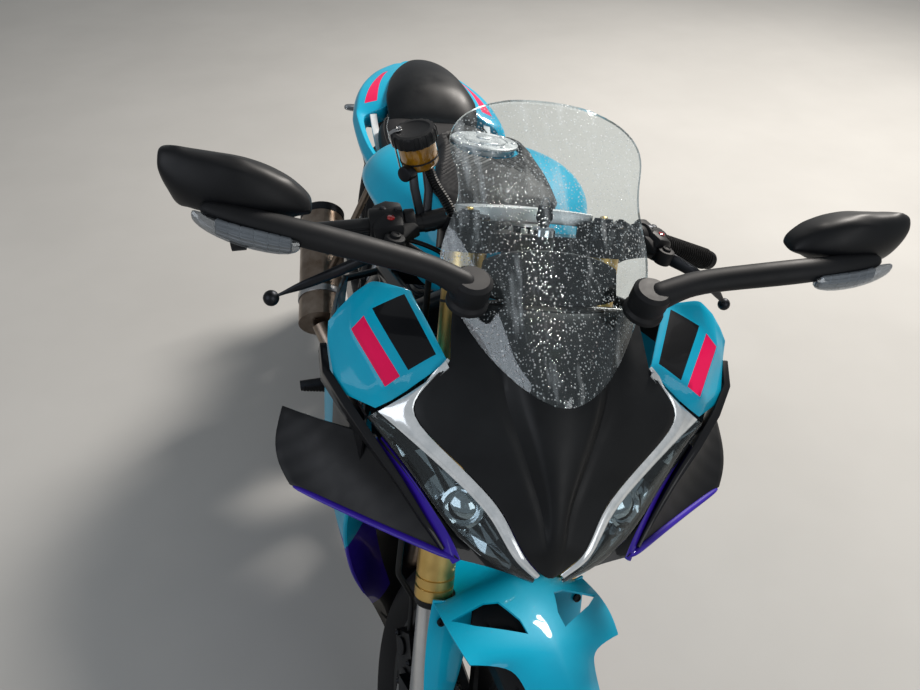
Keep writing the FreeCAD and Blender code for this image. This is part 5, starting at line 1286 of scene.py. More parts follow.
def in_wedge(middle):
    """Whether a face lies between the wedge's borders, on the part that closes against the hump."""
    if not (WEDGE_START < middle.y < WEDGE_END and middle.z > WEDGE_FOOT):
        return False
    y, inner_x, outer_x = mixed([(row[0], row[2][0], row[3][0]) for row in TAIL_ROWS], middle.y)
    return inner_x < middle.x < outer_x


paint_faces(tail, [CYAN, PINK], [int(in_wedge(middle)) for middle in middles_of(tail)])
# edges along the tail stay fairly firm, and edges across it are rounded
layer = tail.data.attributes.new("crease_edge", "FLOAT", "EDGE")
for edge in tail.data.edges:
    a, b = (tail.data.vertices[i].co for i in edge.vertices)
    if abs(a.y - b.y) > 2:
        layer.data[edge.index].value = 0.45
subdivide(tail, 2)
both(tail, "tail_loop", PARKED, "chassis", "cyan", None, replaced=["tail_fairing"], angle=40)

SKIRT_HIGH = [(126, 880, 744), (142, 960, 756), (154, 1100, 766), (142, 1220, 780), (98, 1340, 790)]
SKIRT_LOW = [(122, 880, 712), (132, 960, 716), (136, 1100, 734), (122, 1220, 760), (78, 1340, 778)]
skirt_rows = between(along(SKIRT_HIGH, 9), along(SKIRT_LOW, 9), 3, 3, (1, 0, 0))
skirt = panel("tail_skirt", skirt_rows, (1, 0, 0), 3, 0.8)
both(skirt, "tail_skirt", PARKED, "chassis", "cyan", SATIN, replaced=["tail_fairing"])
strip_line = [(122, 1104, 800), (119, 1060, 787), (115, 1020, 775), (111, 975, 762)]
inner = bar("tail_inner_strip", strip_line, [(7, 2.5)], 0.8)
both(inner, "tail_inner_strip", PARKED, "chassis", "cyan", PALE)

TIP_ROWS = [
    # y, half width, bottom z, top z
    (1320, 70, 778, 811), (1326, 73, 777, 812), (1396, 46, 784, 812), (1434, 26, 792, 809),
    (1441, 20, 795, 807)]
rings = [[(-half, y, low), (half, y, low), (half + 5, y, (low + high) / 2), (half + 3, y, high),
          (0, y, high + 2), (-half - 3, y, high), (-half - 5, y, (low + high) / 2)]
         for y, half, low, high in TIP_ROWS]
settle(skin("tail_tip", rings, levels=2), PARKED, "chassis", "cyan", CYAN, ["tail_fairing"], angle=50)
GLOW_ROWS = [(1374, 46, 772, 783), (1382, 47, 772, 784), (1428, 32, 779, 791), (1438, 26, 782, 792)]
rings = [[(-half, y, low), (half, y, low), (half + 2, y, (low + high) / 2), (half, y, high),
          (-half, y, high), (-half - 2, y, (low + high) / 2)] for y, half, low, high in GLOW_ROWS]
settle(skin("tail_lamp_lens", rings, levels=2), PARKED, "chassis", "red_lens", RED, ["tail_lamp"])
print("tail faces:", len(tail.data.polygons))

# %% [markdown]
# Over the bars stands the front brake's fluid pot: a clear amber cup, a ribbed black cap held down by
# a bent steel strap, two stay legs, and a corrugated hose down to the master cylinder. The cap's ribs
# are every second face of its rim, pushed out; the hose is a row of rings, wide and narrow in turn.

# %% Brake fluid pot
def smooth_line(points):
    """Points of a smooth line that starts and ends at the given ends."""
    line = [Vector(p) for p in points]
    for _ in range(4):
        cut = [line[0]]
        for a, b in zip(line, line[1:]):
            cut += [a.lerp(b, 0.25), a.lerp(b, 0.75)]
        line = cut + [line[-1]]
    return line


def line_length(points):
    """The length of a line of points."""
    return sum((Vector(b) - Vector(a)).length for a, b in zip(points, points[1:]))


def ribbed_hose(name, points, radius, pitch, depth):
    """A corrugated hose: ten-sided rings along a smooth line, each second one narrower."""
    turns = [a * math.pi / 5 for a in range(10)]
    line = along(smooth_line(points), int(line_length(points) / pitch * 2))
    rings = []
    for i, point in enumerate(line):
        way = way_at(line, i)
        side = way.orthogonal().normalized() if i == 0 else (side - way * side.dot(way)).normalized()
        over = way.cross(side)
        wide = radius - depth * (i % 2)
        rings.append([point + side * wide * math.cos(turn) + over * wide * math.sin(turn) for turn in turns])
    return skin(name, rings, levels=0)


POT = TURNED @ aim((-158, 357, 1038), Vector((-24, 3, 50)).normalized())
cup = turned("fluid_cup", [
    (0.01, 0), (15, 0), (20, 3), (22, 7), (22, 32), (23.5, 33), (23.5, 35), (0.01, 35)], 40)
settle(cup, POT, "steering", "black_plastic", FLUID, ["brake_reservoir"])
lid = turned("fluid_pot_lid", [
    (0.01, 33), (24.5, 33), (25.5, 35), (25.5, 45), (24, 47.6), (20, 48), (18, 46.8), (0.01, 46.8)], 36)
RIM, RIB_DEGREES = 23.5, 10


def on_rib(middle, normal):
    """Whether a face of the lid is one of the ribs round its rim: every second one."""
    number = round(math.degrees(math.atan2(middle.y, middle.x)) / RIB_DEGREES + 18)
    return abs(normal.z) < 0.5 and math.hypot(middle.x, middle.y) > RIM and number % 2 == 0


pick(lid, on_rib)
bpy.ops.mesh.inset(thickness=0.7, depth=1.1)
use(lid)
drop_rim = turned("fluid_drop_rim", [(20.5, 12), (22.6, 12), (22.6, 14), (20.5, 14)], 40)
lid = join("fluid_pot_lid", [lid, drop_rim])
settle(lid, POT, "steering", "black_plastic", PLASTIC, ["brake_reservoir"])
strap = bar("fluid_pot_strap", [
    (-6, -12, 48.6), (-6, -21, 48.6), (-6, -26.4, 47), (-6, -26.4, 32), (-6, -24, 29), (-6, -24, 2)],
    [(3.6, 0.8)], 0.3)
strap_screw = screw("strap_screw", (-6, -15, 49), (0, 0, 1), 3.2, 2)
settle(join("fluid_pot_strap", [strap, strap_screw]), POT, "steering", "steel", STEEL)
stays = []
for x, y, z in ((-172, 352, 1040), (-150, 360, 1036)):
    foot = (-150 + (x + 160) * 0.3, 330, 984)
    stays.append(bar("fluid_pot_stay", [(x, y, z), (x + 6, y - 10, z - 24), foot], [(5, 2.5)], 0.6))
joint = drum("stay_joint", (-186, 338, 1034), (-174, 346, 1036), 9, 1.5, 24)
stays = join("fluid_pot_stay", stays + [joint])
settle(stays, TURNED, "steering", "black_plastic", DARK_STEEL, ["brake_reservoir"])
pot_hose = ribbed_hose("fluid_hose", [
    (-150, 356, 1040), (-140, 352, 1022), (-122, 338, 1004), (-112, 320, 988), (-128, 300, 974)],
    6.2, 3.4, 1.0)
settle(pot_hose, TURNED, "steering", "rubber", HOSE_RUBBER, angle=20)

# %% [markdown]
# Bars and their fittings: rubber grips with moulded rings, switch blocks with coloured buttons, forged
# levers with a ball at their end, and cables that leave them in loose curves towards the headstock.
# Each is drawn for the left hand; the right-hand one is its mirror image.

# %% Grips, switches and levers
GRIP_IN, GRIP_OUT = Vector((212, 340, 963)), Vector((345, 369, 924))
BAR_WAY = (GRIP_OUT - GRIP_IN).normalized()
GRIP_LONG = (GRIP_OUT - GRIP_IN).length
profile = [(11.2, 0), (19.5, 0), (20, 1.5), (20, 4), (16, 5.5)]
rib = 7.0
while rib < GRIP_LONG - 8:
    profile += [(16.3, rib), (16.3, rib + 3.6), (15.3, rib + 4.2), (15.3, rib + 5.4)]
    rib += 6.0
profile += [(16.3, GRIP_LONG - 2), (14.5, GRIP_LONG), (11.2, GRIP_LONG)]
grip = turned("grip", profile, 28)
both(grip, "grip", TURNED @ aim(GRIP_IN, BAR_WAY), "steering", "rubber", GRIP_RUBBER, replaced=["grips"])
weight = turned("bar_weight", [
    (0.01, 0.2), (12, 0.2), (14.5, 2), (14.5, 13), (12.5, 15.5), (6, 16), (5, 14), (0.01, 14)], 28)
both(weight, "bar_weight", TURNED @ aim(GRIP_OUT, BAR_WAY), "steering", "black_plastic", DARK_STEEL)

block_start, block_end = GRIP_IN - BAR_WAY * 41, GRIP_IN - BAR_WAY
block = drum("switch_block", block_start, block_end, 21.5, 3, 28)
pod_line = [block_start + Vector((2, -4, 2)), (block_start + block_end) / 2 + Vector((0, -4, 3)),
            block_end + Vector((-4, -4, 2))]
pod = bar("switch_pod", pod_line, [(26, 16), (28, 18), (25, 15)], 5)
screws = [screw("switch_screw", block_start.lerp(block_end, t) + Vector((0, -30, 0)), (0, -1, 0.2), 3, 2)
          for t in (0.25, 0.75)]
block = join("switch_block", [block, pod] + screws)
PIVOT, BALL, BALL_RADIUS = Vector((196, 296, 968)), Vector((330, 280, 902)), 9
perch_start = block_start - BAR_WAY * 14
perch = drum("lever_clamp", perch_start, perch_start + BAR_WAY * 13, 17.5, 2, 24)
perch_line = [perch_start + Vector((4, -12, 2)), PIVOT + Vector((-6, 14, 0)), PIVOT]
arm = bar("lever_perch", perch_line, [(10, 8), (10, 9), (9, 9)], 3)
boss = drum("lever_boss", PIVOT - Vector((0, 0, 10)), PIVOT + Vector((0, 0, 10)), 12, 2, 24)
pin = screw("lever_pin", PIVOT + Vector((0, 0, 10)), (0, 0, 1), 6, 3)
block = join("switch_block", [block, perch, arm, boss, pin])
both(block, "switch_block", TURNED, "steering", "black_plastic", PLASTIC, replaced=["switch_housings"])
buttons = [drum("switch_button", block_start.lerp(block_end, t) + Vector((0, y, 17)),
                block_start.lerp(block_end, t) + Vector((0, y, 23)), r, 0.8, 16)
           for t, y, r in ((0.3, -2, 5), (0.7, 4, 4), (0.62, -18, 4.5))]
both(buttons.pop(), "starter_button", TURNED, "steering", "red_lens", RED)
both(join("switch_button", buttons), "switch_button", TURNED, "steering", "black_plastic", DARK_STEEL)

KNEE = PIVOT + Vector((52, -24, -14))
lever_line = [PIVOT + Vector((4, -2, 0)), PIVOT + Vector((18, -11, -3)), PIVOT + Vector((36, -19, -8)), KNEE,
              KNEE.lerp(BALL, 0.35) + Vector((4, -5, 1)), KNEE.lerp(BALL, 0.7) + Vector((3, -3, 1)), BALL]
lever = bar("lever", lever_line, [(5, 11), (4.5, 9), (4.5, 8.5), (4.5, 8), (4, 7), (3.6, 6), (3.4, 5)])
subdivide(lever, 2)
turns = [math.radians(degrees) for degrees in range(20, 180, 20)]
round_part = [(BALL_RADIUS * math.sin(turn), -BALL_RADIUS * math.cos(turn)) for turn in turns]
ball = turned("lever_ball", [(0.01, -BALL_RADIUS), *round_part, (0.01, BALL_RADIUS)], 20)
lever = join("lever", [lever, move(ball, *BALL)])
both(lever, "lever", TURNED, "steering", "black_plastic", DARK_STEEL, replaced=["levers"])

CABLES = [
    # name, radius and the points each runs through, always behind the screen and before the headstock
    ("clutch_cable", 3, [
        (186, 304, 964), (150, 308, 960), (112, 306, 942), (74, 292, 912), (46, 272, 880), (28, 262, 852)]),
    ("left_loom", 4, [
        (168, 322, 956), (140, 318, 944), (108, 314, 926), (76, 300, 896), (50, 280, 868), (34, 266, 842)]),
    ("throttle_cable", 3, [
        (-170, 322, 960), (-146, 316, 958), (-112, 310, 944), (-76, 294, 912), (-48, 274, 880),
        (-30, 262, 852)]),
    ("return_cable", 3, [
        (-172, 316, 954), (-148, 310, 948), (-114, 304, 934), (-78, 288, 904), (-50, 270, 872),
        (-32, 260, 846)]),
    ("right_loom", 4, [
        (-168, 326, 952), (-140, 322, 938), (-108, 318, 920), (-78, 304, 892), (-52, 284, 862),
        (-36, 268, 838)]),
    ("master_hose", 4, [
        (-186, 300, 956), (-160, 304, 948), (-130, 304, 930), (-110, 292, 900), (-104, 276, 860),
        (-100, 262, 820)])]
for name, radius, points in CABLES:
    settle(hose(name, points, radius), TURNED, "steering", "rubber", HOSE_RUBBER)

# %% [markdown]
# The instrument is a thin tinted display in a bezel. On the yoke are the fork caps with their
# adjusters, the stem nut, pinch screws and the ignition key, whose fob hangs from a ring.

# %% Instrument, yoke fittings and key
# the display's outline: across, and up along its slope
DISPLAY_ROW = [(-84, 0), (-80, 34), (-52, 46), (0, 50), (52, 46), (80, 34), (84, 0), (60, -10), (0, -13),
               (-60, -10)]
DISPLAY_SLOPE = Vector((0, 0.5, 0.95))
display = outline("instrument", [Vector((x, 197, 960)) + DISPLAY_SLOPE * up for x, up in DISPLAY_ROW])
round_edges(thicken(display, 14, 0), 3, 3, 50)
subdivide(display, 1)
move(display, 0, 10, 0)
settle(display, PARKED, "chassis", "black_plastic", PLASTIC, ["display"], angle=50)
glass_row = [(x * 0.9, up * 0.86 + 2) for x, up in DISPLAY_ROW]
glass = outline("instrument_glass", [Vector((x, 217, 957)) + DISPLAY_SLOPE * up for x, up in glass_row])
settle(thicken(glass, 2, 0), PARKED, "chassis", "lens", DISPLAY, ["display"])
tray = panel("cockpit_tray_sheet", [
    [(x, 172 + abs(x) * 0.25, 962 - abs(x) * 0.11) for x in (-112, -60, -30, 0, 30, 60, 112)],
    [(x, 192 + abs(x) * 0.2, 952 - abs(x) * 0.1) for x in (-118, -64, -30, 0, 30, 64, 118)],
    [(x, 222, 944 - abs(x) * 0.06) for x in (-122, -64, -30, 0, 30, 64, 122)]], (0, 0, 1), 3, 0.6)
settle(tray, PARKED, "chassis", "black_plastic", PLASTIC, ["cockpit_tray"])

FORK_HALF, YOKE_TOP, TUBE_TOP = 98, 755, 772
fork_cap = turned("fork_cap", [
    (0.01, -6), (20, -6), (25, -1), (25.5, 0), (25.5, 2), (24, 4), (13, 4.5), (12, 9), (6, 9), (5, 7),
    (0.01, 7)], 36)
both(move(fork_cap, FORK_HALF, 0, TUBE_TOP), "fork_cap", ALONG_FORK, "steering", "dark_alloy", DARK_STEEL)
adjuster = screw("fork_adjuster", (FORK_HALF, 0, TUBE_TOP + 7), (0, 0, 1), 5, 4)
both(adjuster, "fork_adjuster", ALONG_FORK, "steering", "gold", GOLD)
STEM_BACK = FRONT_HIGH * math.sin(RAKE) - 97 * math.cos(RAKE)
nut = turned("stem_nut", [(11, 0), (21, 0), (21, 5), (19, 7), (19, 11), (14, 12), (13, 9), (11, 9)], 6)
settle(move(nut, 0, STEM_BACK, YOKE_TOP), ALONG_FORK, "steering", "alloy", MACHINED)
pinch = [screw("yoke_screw", (side * (FORK_HALF + 20), -26, YOKE_TOP - 11), (side, 0, 0), 4, 3)
         for side in (1, -1)]
pinch += [screw("yoke_screw", (side * 30, STEM_BACK + 20, YOKE_TOP), (0, 0, 1), 4, 3) for side in (1, -1)]
settle(join("yoke_screw", pinch), ALONG_FORK, "steering", "steel", DARK_STEEL)
LOCK_Y = -12
lock = turned("ignition_lock", [(3, 0), (15.5, 0), (15.5, 8), (13, 11), (7, 11.5), (6, 9), (3, 9)], 28)
settle(move(lock, 0, LOCK_Y, YOKE_TOP), ALONG_FORK, "steering", "alloy", CHROME)
key = bar("key_blade", [(0, LOCK_Y, YOKE_TOP + high) for high in (8, 16)], [(4, 1.2)], 0.3)
bow = bar("key_bow", [(0, LOCK_Y, YOKE_TOP + high) for high in (15, 22, 38)],
          [(7, 3), (11, 3.6), (9, 3.2)], 1.6)
settle(join("ignition_key", [key, bow]), ALONG_FORK, "steering", "black_plastic", PLASTIC)
bpy.ops.mesh.primitive_torus_add(major_radius=9, minor_radius=0.9, major_segments=28, minor_segments=8,
                                 location=(0, LOCK_Y, YOKE_TOP + 38), rotation=(0, math.radians(90), 0))
ring = fresh("key_ring")
bpy.ops.object.transform_apply(location=True, rotation=True, scale=True)
settle(ring, ALONG_FORK, "steering", "steel", CHROME)
bridge = bar("bar_bridge", [(-92, 30, 775), (-60, 36, 777), (0, 40, 778), (60, 36, 777), (92, 30, 775)],
             [(20, 9), (22, 9), (18, 9), (22, 9), (20, 9)], 2)
settle(bridge, ALONG_FORK, "steering", "alloy", MACHINED)
print("cockpit pieces so far:", len(made))

# %% [markdown]
# The fork tubes are turned pieces: an anodised tube with two ring grooves above its lower end, a rubber
# seal below it, and the caliper with its piston caps and bolts beside the disc.

# %% Fork tubes and caliper
TUBE_FOOT = 277
TUBE_PROFILE = [(21.5, 0), (24.4, 0), (25.5, 1.5), (25.5, 16), (23.8, 17), (23.8, 19), (25.5, 20), (25.5, 30),
                (23.8, 31), (23.8, 33), (25.5, 34), (25.5, 315), (25.5, 494), (21.5, 494)]
SEAL_PROFILE = [(20.6, -9), (23.5, -9), (24.6, -7), (24.6, 0), (20.6, 0)]
tube = turned("fork_tube", [(radius, TUBE_FOOT + high) for radius, high in TUBE_PROFILE], 44)
both(move(tube, FORK_HALF, 0, 0), "fork_tube", ALONG_FORK, "steering", "gold", GOLD,
     replaced=["fork_outer_tubes"])
seal = turned("fork_seal", [(radius, TUBE_FOOT + high) for radius, high in SEAL_PROFILE], 40)
both(move(seal, FORK_HALF, 0, 0), "fork_seal", ALONG_FORK, "steering", "rubber", HOSE_RUBBER)
caps = [drum("piston_cap", (-88, y, z), (-92, y, z), 13, 1, 24) for y, z in ((84, 100), (104, 138))]
caps += [screw("caliper_bolt", (-88.4, y, z), (-1, 0, 0), 5, 4)
         for y, z in ((62, 76), (118, 152), (72, 130), (100, 84))]
settle(join("caliper_bolts", caps), ALONG_FORK, "steering", "steel", DARK_STEEL)

# %% [markdown]
# A tyre is one closed ring of faces over the CAD tyre's own section: a round tread, bulging sides and
# the beads on the rim. Rain grooves are pushed into the tread where a pattern says so, in turn left
# and right of the middle, each slanting back towards its shoulder.

# %% Tyres with grooves
GROOVES = [
    # from the middle of the tread to its shoulder, and from start to end of one cut's share of the turn
    (0.1, 0.72, 0.0, 0.12), (0.42, 0.86, 0.5, 0.6)]
GROOVE_DEEP, GROOVE_SLANT = 3.4, 0.55
# how high the tread's curve stands, as a share of the tyre's width
TREAD_SHARE = 0.28
TREAD_COLUMNS, ROWS_A_CUT = 40, 20


def groove(turn, t, cuts):
    """Depth of the groove at a turn of the wheel; t runs from -1 to 1 over the tread."""
    share = (turn * cuts / math.tau + (0.5 if t < 0 else 0.0) - abs(t) * GROOVE_SLANT) % 1.0
    cut = any(inner < abs(t) < outer and start <= share < end for inner, outer, start, end in GROOVES)
    return GROOVE_DEEP if cut else 0.0


def tyre(name, radius, width, section, rim_width, cuts):
    """A grooved tyre on its wheel's own axle, with its section as in the CAD."""
    half, foot, high = width / 2, rim_width / 2 - 0.5, TREAD_SHARE * width
    crown = (half * half + high * high) / (2 * high)
    reach = math.asin(half / crown)
    bead, lip, shoulder = radius - section + 0.5, radius - section + 10, radius - high
    # the side bulges from the tread's shoulder to the lip of the rim, and the bead closes it
    waist = Vector(((half + foot) / 2 + 0.06 * width, (shoulder + lip) / 2))
    start, end = Vector((half, shoulder)), Vector((foot, lip))
    control = waist * 2 - (start + end) / 2
    side = [start * (1 - u) ** 2 + control * 2 * u * (1 - u) + end * u * u for u in (0.2, 0.4, 0.6, 0.8, 1.0)]
    side.append(Vector((foot, bead)))
    inner = [Vector((foot - 8, bead)), Vector((half - 9, shoulder - 2)), Vector((0, radius - 12))]
    rows = []
    around = cuts * ROWS_A_CUT
    for i in range(around + 1):
        turn = math.tau * i / around
        line = []
        for j in range(TREAD_COLUMNS + 1):
            t = -1 + 2 * j / TREAD_COLUMNS
            ball = crown - groove(turn, t, cuts)
            line.append((ball * math.sin(t * reach), radius - crown + ball * math.cos(t * reach)))
        line += [tuple(p) for p in side + inner]
        line += [(-p.x, p.y) for p in reversed(side + inner[:2])]
        line.append(line[0])
        rows.append([(x, out * math.sin(turn), out * math.cos(turn)) for x, out in line])
    obj = edit_all(grid_sheet(name, rows, (0, 0, 1)), "VERT")
    bpy.ops.mesh.remove_doubles(threshold=0.01)
    bpy.ops.mesh.normals_make_consistent(inside=False)
    return use(obj)


TYRES = [
    # end of the bike, place, radius, width, height of the section, width of the rim, cuts round it
    ("front", FRONT_WHEEL, FRONT_HIGH, 110, 76, 78, 18), ("rear", REAR_WHEEL, REAR_HIGH, 150, 89, 104, 20)]
for end, place, *sizes in TYRES:
    obj = tyre(end + "_road_tyre", *sizes)
    settle(obj, place, end + "_wheel", "tyre", TYRE, replaced=[end + "_tyre"])


def ring_of_screws(name, x, way, reach, count, radius, high):
    """Screws set round the X axis at a distance from it."""
    turns = [math.tau * i / count for i in range(count)]
    places = [(x, reach * math.sin(turn), reach * math.cos(turn)) for turn in turns]
    return join(name, [screw(name, place, (way, 0, 0), radius, high) for place in places])


WHEEL_BOLTS = [
    # name, x, the way the heads face, distance from the axle, place, body
    ("front_disc_bolts", -66.5, -1, 62, FRONT_WHEEL, "front_wheel"),
    ("rear_disc_bolts", -94.5, -1, 52, REAR_WHEEL, "rear_wheel"),
    ("sprocket_bolts", 92.5, 1, 46, REAR_WHEEL, "rear_wheel")]
for name, x, way, reach, place, body in WHEEL_BOLTS:
    settle(ring_of_screws(name, x, way, reach, 5, 6, 4), place, body, "steel", STEEL)
VALVE_PROFILE = [(0.01, 0), (3, 0), (3, 24), (4, 24), (4, 34), (3, 35), (0.01, 35)]
for end, place in (("front", FRONT_WHEEL), ("rear", REAR_WHEEL)):
    valve = move(turned(end + "_valve", VALVE_PROFILE, 16), 12, 0, -210)
    settle(valve, place, end + "_wheel", "steel", DARK_STEEL)

# %% [markdown]
# The chain is real links: plates in pairs and rollers between them, set one after the other along
# the two straight runs and round both sprockets.

# %% Chain links
CHAIN_PITCH = 15.875
# each sprocket: its axle's y and z, and the radius of the chain round it
SMALL, LARGE = (772.0, 395.0, 38.0), (WHEELBASE, REAR_HIGH, 92.0)
CHAIN_X, ARC_STEPS = 90, 24
# half height of a plate at places along it, and how far its two plates stand out in turn
PLATE_POINTS = [(-7.9, 4.2), (-3, 6.2), (3, 6.2), (7.9, 4.2)]
PLATE_HALF, NARROW, WIDE = 0.8, 5.6, 7.2
ROLLER_HALF, ROLLER_RADIUS = Vector((8, 0, 0)), 4.2
gap_y, gap_z = LARGE[0] - SMALL[0], LARGE[1] - SMALL[1]
lean = math.atan2(gap_z, gap_y)
open_angle = math.asin((LARGE[2] - SMALL[2]) / math.hypot(gap_y, gap_z))
quarter = math.pi / 2
path = []
for (y, z, radius), start, end in (
        (LARGE, lean + quarter + open_angle, lean - quarter - open_angle),
        (SMALL, lean - quarter - open_angle, lean - 3 * math.pi / 2 + open_angle)):
    for i in range(ARC_STEPS + 1):
        turn = start + (end - start) * i / ARC_STEPS
        path.append(Vector((CHAIN_X, y + radius * math.cos(turn), z + radius * math.sin(turn))))
path.append(path[0])
spots = along(path, round(line_length(path) / CHAIN_PITCH))
parts = []
for i, spot in enumerate(spots):
    after = spots[(i + 1) % len(spots)]
    middle, way = (spot + after) / 2, (after - spot).normalized()
    out = WIDE if i % 2 else NARROW
    for side in (-out, out):
        plate = bar("chain_plate", [middle + way * step for step, high in PLATE_POINTS],
                    [(PLATE_HALF, high) for step, high in PLATE_POINTS])
        parts.append(move(plate, side, 0, 0))
    parts.append(drum("chain_roller", spot - ROLLER_HALF, spot + ROLLER_HALF, ROLLER_RADIUS, 0, 8))
settle(join("chain_links", parts), PARKED, "chassis", "steel", CHAIN_STEEL, replaced=["chain"])
print("chain links:", len(spots))

# %% [markdown]
# Low on the chassis: bolts round the engine covers, an oil cap, radiator fins in a frame, a coil
# spring on the shock, a clamped and capped silencer, ribbed footpegs, a blank plate and the rear
# flashers.

# %% Engine covers and radiator
left_bolts = ring_of_screws("left_cover_bolts", 128, 1, 66, 8, 5, 4)
settle(move(left_bolts, 0, 560, 356), PARKED, "chassis", "steel", STEEL)
right_bolts = ring_of_screws("right_cover_bolts", -132, -1, 70, 9, 5, 4)
oil_cap = drum("oil_cap", (-130, 640, 404), (-140, 640, 404), 15, 2, 10)
right_bolts = join("right_cover_bolts", [move(right_bolts, 0, 604, 362), oil_cap])
settle(right_bolts, PARKED, "chassis", "steel", STEEL)
FIN_COUNT, FIN_PITCH, FIN_SIZE = 48, 5, (288, 3, 1)
bpy.ops.mesh.primitive_cube_add(size=1, location=(0, 0, 0))
fin = fresh("radiator_fins")
fin.scale = FIN_SIZE
bpy.ops.object.transform_apply(location=True, rotation=True, scale=True)
modify(move(fin, 0, 325.6, 452), "ARRAY", count=FIN_COUNT, use_relative_offset=False,
       use_constant_offset=True, constant_offset_displace=(0, 0, FIN_PITCH))
rails = [bar("radiator_rail", [(x, 325, 448), (x, 325, 694)], [(1.2, 1.8)]) for x in range(-132, 133, 24)]
settle(join("radiator_fins", [fin] + rails), PARKED, "chassis", "dark_alloy", DARK_STEEL)

# %% Shock spring, silencer and footpegs
SHOCK_LOW, SHOCK_HIGH = Vector((0, 932, 432)), Vector((0, 862, 606))
COILS, COIL_STEPS, COIL_RADIUS = 7, 12, 32
spring_way = SHOCK_HIGH - SHOCK_LOW
across = Vector((1, 0, 0))
over = spring_way.normalized().cross(across)
coil = []
for i in range(COILS * COIL_STEPS + 1):
    turn = i * math.tau / COIL_STEPS
    coil.append(SHOCK_LOW + spring_way * (i / (COILS * COIL_STEPS))
                + across * COIL_RADIUS * math.cos(turn) + over * COIL_RADIUS * math.sin(turn))
settle(hose("shock_spring", coil, 4.6), PARKED, "chassis", "steel", SPRING_PAINT)
PIPE_START, PIPE_END = Vector((-196, 1000, 330)), Vector((-196, 1285, 452))
pipe_way = (PIPE_END - PIPE_START).normalized()
cap = turned("silencer_cap", [
    (24, -6), (26, -14), (40, -12), (53.4, -4), (53.4, 16), (52, 17), (52, -2), (30, -8)], 48)
settle(shift(cap, aim(PIPE_END, -pipe_way)), PARKED, "chassis", "black_plastic", DARK_STEEL)
BAND_PROFILE = [(52.2, 0), (54, 0), (54.4, 1), (54.4, 15), (54, 16), (52.2, 16)]
bands = [turned("silencer_band", [(radius, place + high) for radius, high in BAND_PROFILE], 48)
         for place in (60, 214)]
settle(shift(join("silencer_band", bands), aim(PIPE_START, pipe_way)), PARKED, "chassis", "steel", STEEL)
PEG_RIB = [(11.6, 5), (11.6, 9), (10.4, 9.6), (10.4, 10.9)]
peg_profile = [(0.01, 0), (11, 0), (11, 4)]
for k in range(8):
    peg_profile += [(radius, out + k * 6.5) for radius, out in PEG_RIB]
peg_profile += [(11, 60), (0.01, 61)]
peg = shift(turned("footpeg", peg_profile, 24), aim((181, 800, 312), (1, 0, 0)))
both(peg, "footpeg", PARKED, "chassis", "rubber", GRIP_RUBBER)

# %% Plate and rear flashers
PLATE_TOP, PLATE_FOOT = Vector((0, 1650, 636)), Vector((0, 1686, 532))
down = (PLATE_FOOT - PLATE_TOP).normalized()
outward = Vector((0, -down.z, down.y))
rows = [[PLATE_TOP + down * (3 + d) + Vector((x, 0, 0)) + outward * 0.5 for x in range(-84, 85, 12)]
        for d in range(0, 105, 8)]
plate = hold(grid_sheet("blank_plate", rows, outward), ends_of(rows))
edit_all(plate)
bpy.ops.mesh.inset(thickness=4, depth=0.6)
settle(thicken(use(plate), 1.0), PARKED, "chassis", "screen", PLATE_PAINT)
FLASHER_Y, FLASHER_Z = 1566.5, 626.6
FLASHER_ROWS = [(95, 7, 6), (100, 10, 9), (114, 12, 11), (132, 11, 10), (142, 8, 8), (146, 4, 4)]
eighths = [a * math.tau / 8 for a in range(8)]
rings = [[(x, FLASHER_Y + deep * math.cos(turn), FLASHER_Z + tall * math.sin(turn)) for turn in eighths]
         for x, deep, tall in FLASHER_ROWS]
both(skin("rear_flasher", rings, levels=1), "rear_flasher", PARKED, "chassis", "lens", SMOKED)
rings = [[(x, FLASHER_Y + (y - FLASHER_Y) * 0.6, FLASHER_Z + (z - FLASHER_Z) * 0.6) for x, y, z in ring]
         for ring in rings[1:5]]
inside = skin("rear_flasher_reflector", rings, levels=0)
both(inside, "rear_flasher_reflector", PARKED, "chassis", "lens", MACHINED)
print("chassis pieces so far:", len(made))

# %% [markdown]
# The studio: a pale plain floor, one broad lamp high behind the bike's left, as the sun is in the
# photograph, and two weaker ones to open the shadows. The levels are set so that a colour renders
# about as it is written.

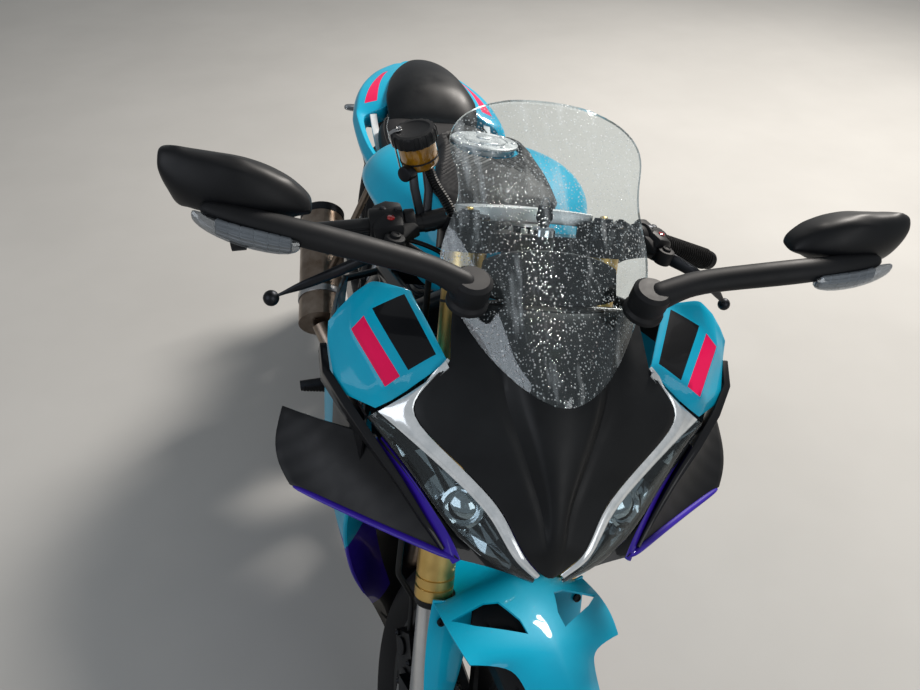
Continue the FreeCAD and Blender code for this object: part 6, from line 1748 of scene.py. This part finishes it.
# %% Studio
scene = bpy.context.scene
scene.view_settings.view_transform = "Standard"
bpy.ops.mesh.primitive_plane_add(size=14, location=(0, 0, 0))
floor = fresh("studio_floor")
floor.data.materials.append(patchy("pale_studio_floor", "#A9A8A5", "#AFAEAB", 700, Roughness=0.85))
floor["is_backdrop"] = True

world = bpy.data.worlds.new("soft_room")
scene.world = world
world.use_nodes = True
tree = world.node_tree
tree.nodes.clear()
sky = put(tree, "ShaderNodeBackground", {"Color": linear("#DDE2E6"), "Strength": 0.36})
put(tree, "ShaderNodeOutputWorld", links=[("Surface", sky, "Background")])


def lamp(name, place, target, size, watts, code="#FFFFFF"):
    """A square soft lamp at a place, facing a target."""
    bpy.ops.object.light_add(type="AREA", location=place)
    light = fresh(name)
    light.data.shape = "SQUARE"
    light.data.size = size
    light.data.energy = watts
    light.data.color = linear(code)[:3]
    light.rotation_euler = (Vector(target) - Vector(place)).to_track_quat("-Z", "Y").to_euler()
    return light


MIDDLE = (0.0, 0.0, 0.6)
lamp("key_lamp", (2.6, 2.2, 3.6), MIDDLE, 0.9, 320, "#FFF8F0")
lamp("fill_lamp", (-3.2, -2.4, 2.8), MIDDLE, 2.6, 46, "#F2F6FF")
lamp("front_lamp", (1.6, -3.6, 2.2), MIDDLE, 2.0, 30)

# %% [markdown]
# The camera stands in front of the bike at head height and looks down on its nose, as the
# photographer did. Its place and angles were solved from points whose size is known: the tyre,
# the mirrors, the screen and the bars.

# %% Camera
EYE = Vector((-0.2466, -1.2736, 1.4934))
YAW, PITCH, ROLL = math.radians(9.01), math.radians(37.77), math.radians(0.4)
FOCAL_PIXELS, PHOTO_WIDTH, SENSOR_MM = 834.6, 920, 36
forward = Vector((math.sin(YAW) * math.cos(PITCH), math.cos(YAW) * math.cos(PITCH), -math.sin(PITCH)))
level = Vector((math.cos(YAW), -math.sin(YAW), 0))
upward = level.cross(forward)
right = level * math.cos(ROLL) + upward * math.sin(ROLL)
rolled_up = upward * math.cos(ROLL) - level * math.sin(ROLL)
bpy.ops.object.camera_add(location=EYE)
camera = fresh("camera")
camera.rotation_euler = Matrix((right, rolled_up, -forward)).transposed().to_euler()
camera.data.lens = FOCAL_PIXELS / PHOTO_WIDTH * SENSOR_MM
camera.data.sensor_width = SENSOR_MM
camera.data.clip_start = 0.05
scene.camera = camera

# %% Sizes, and the end
low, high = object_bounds()
print("pieces:", len(made), "visual box", [round(v, 3) for v in low], [round(v, 3) for v in high])
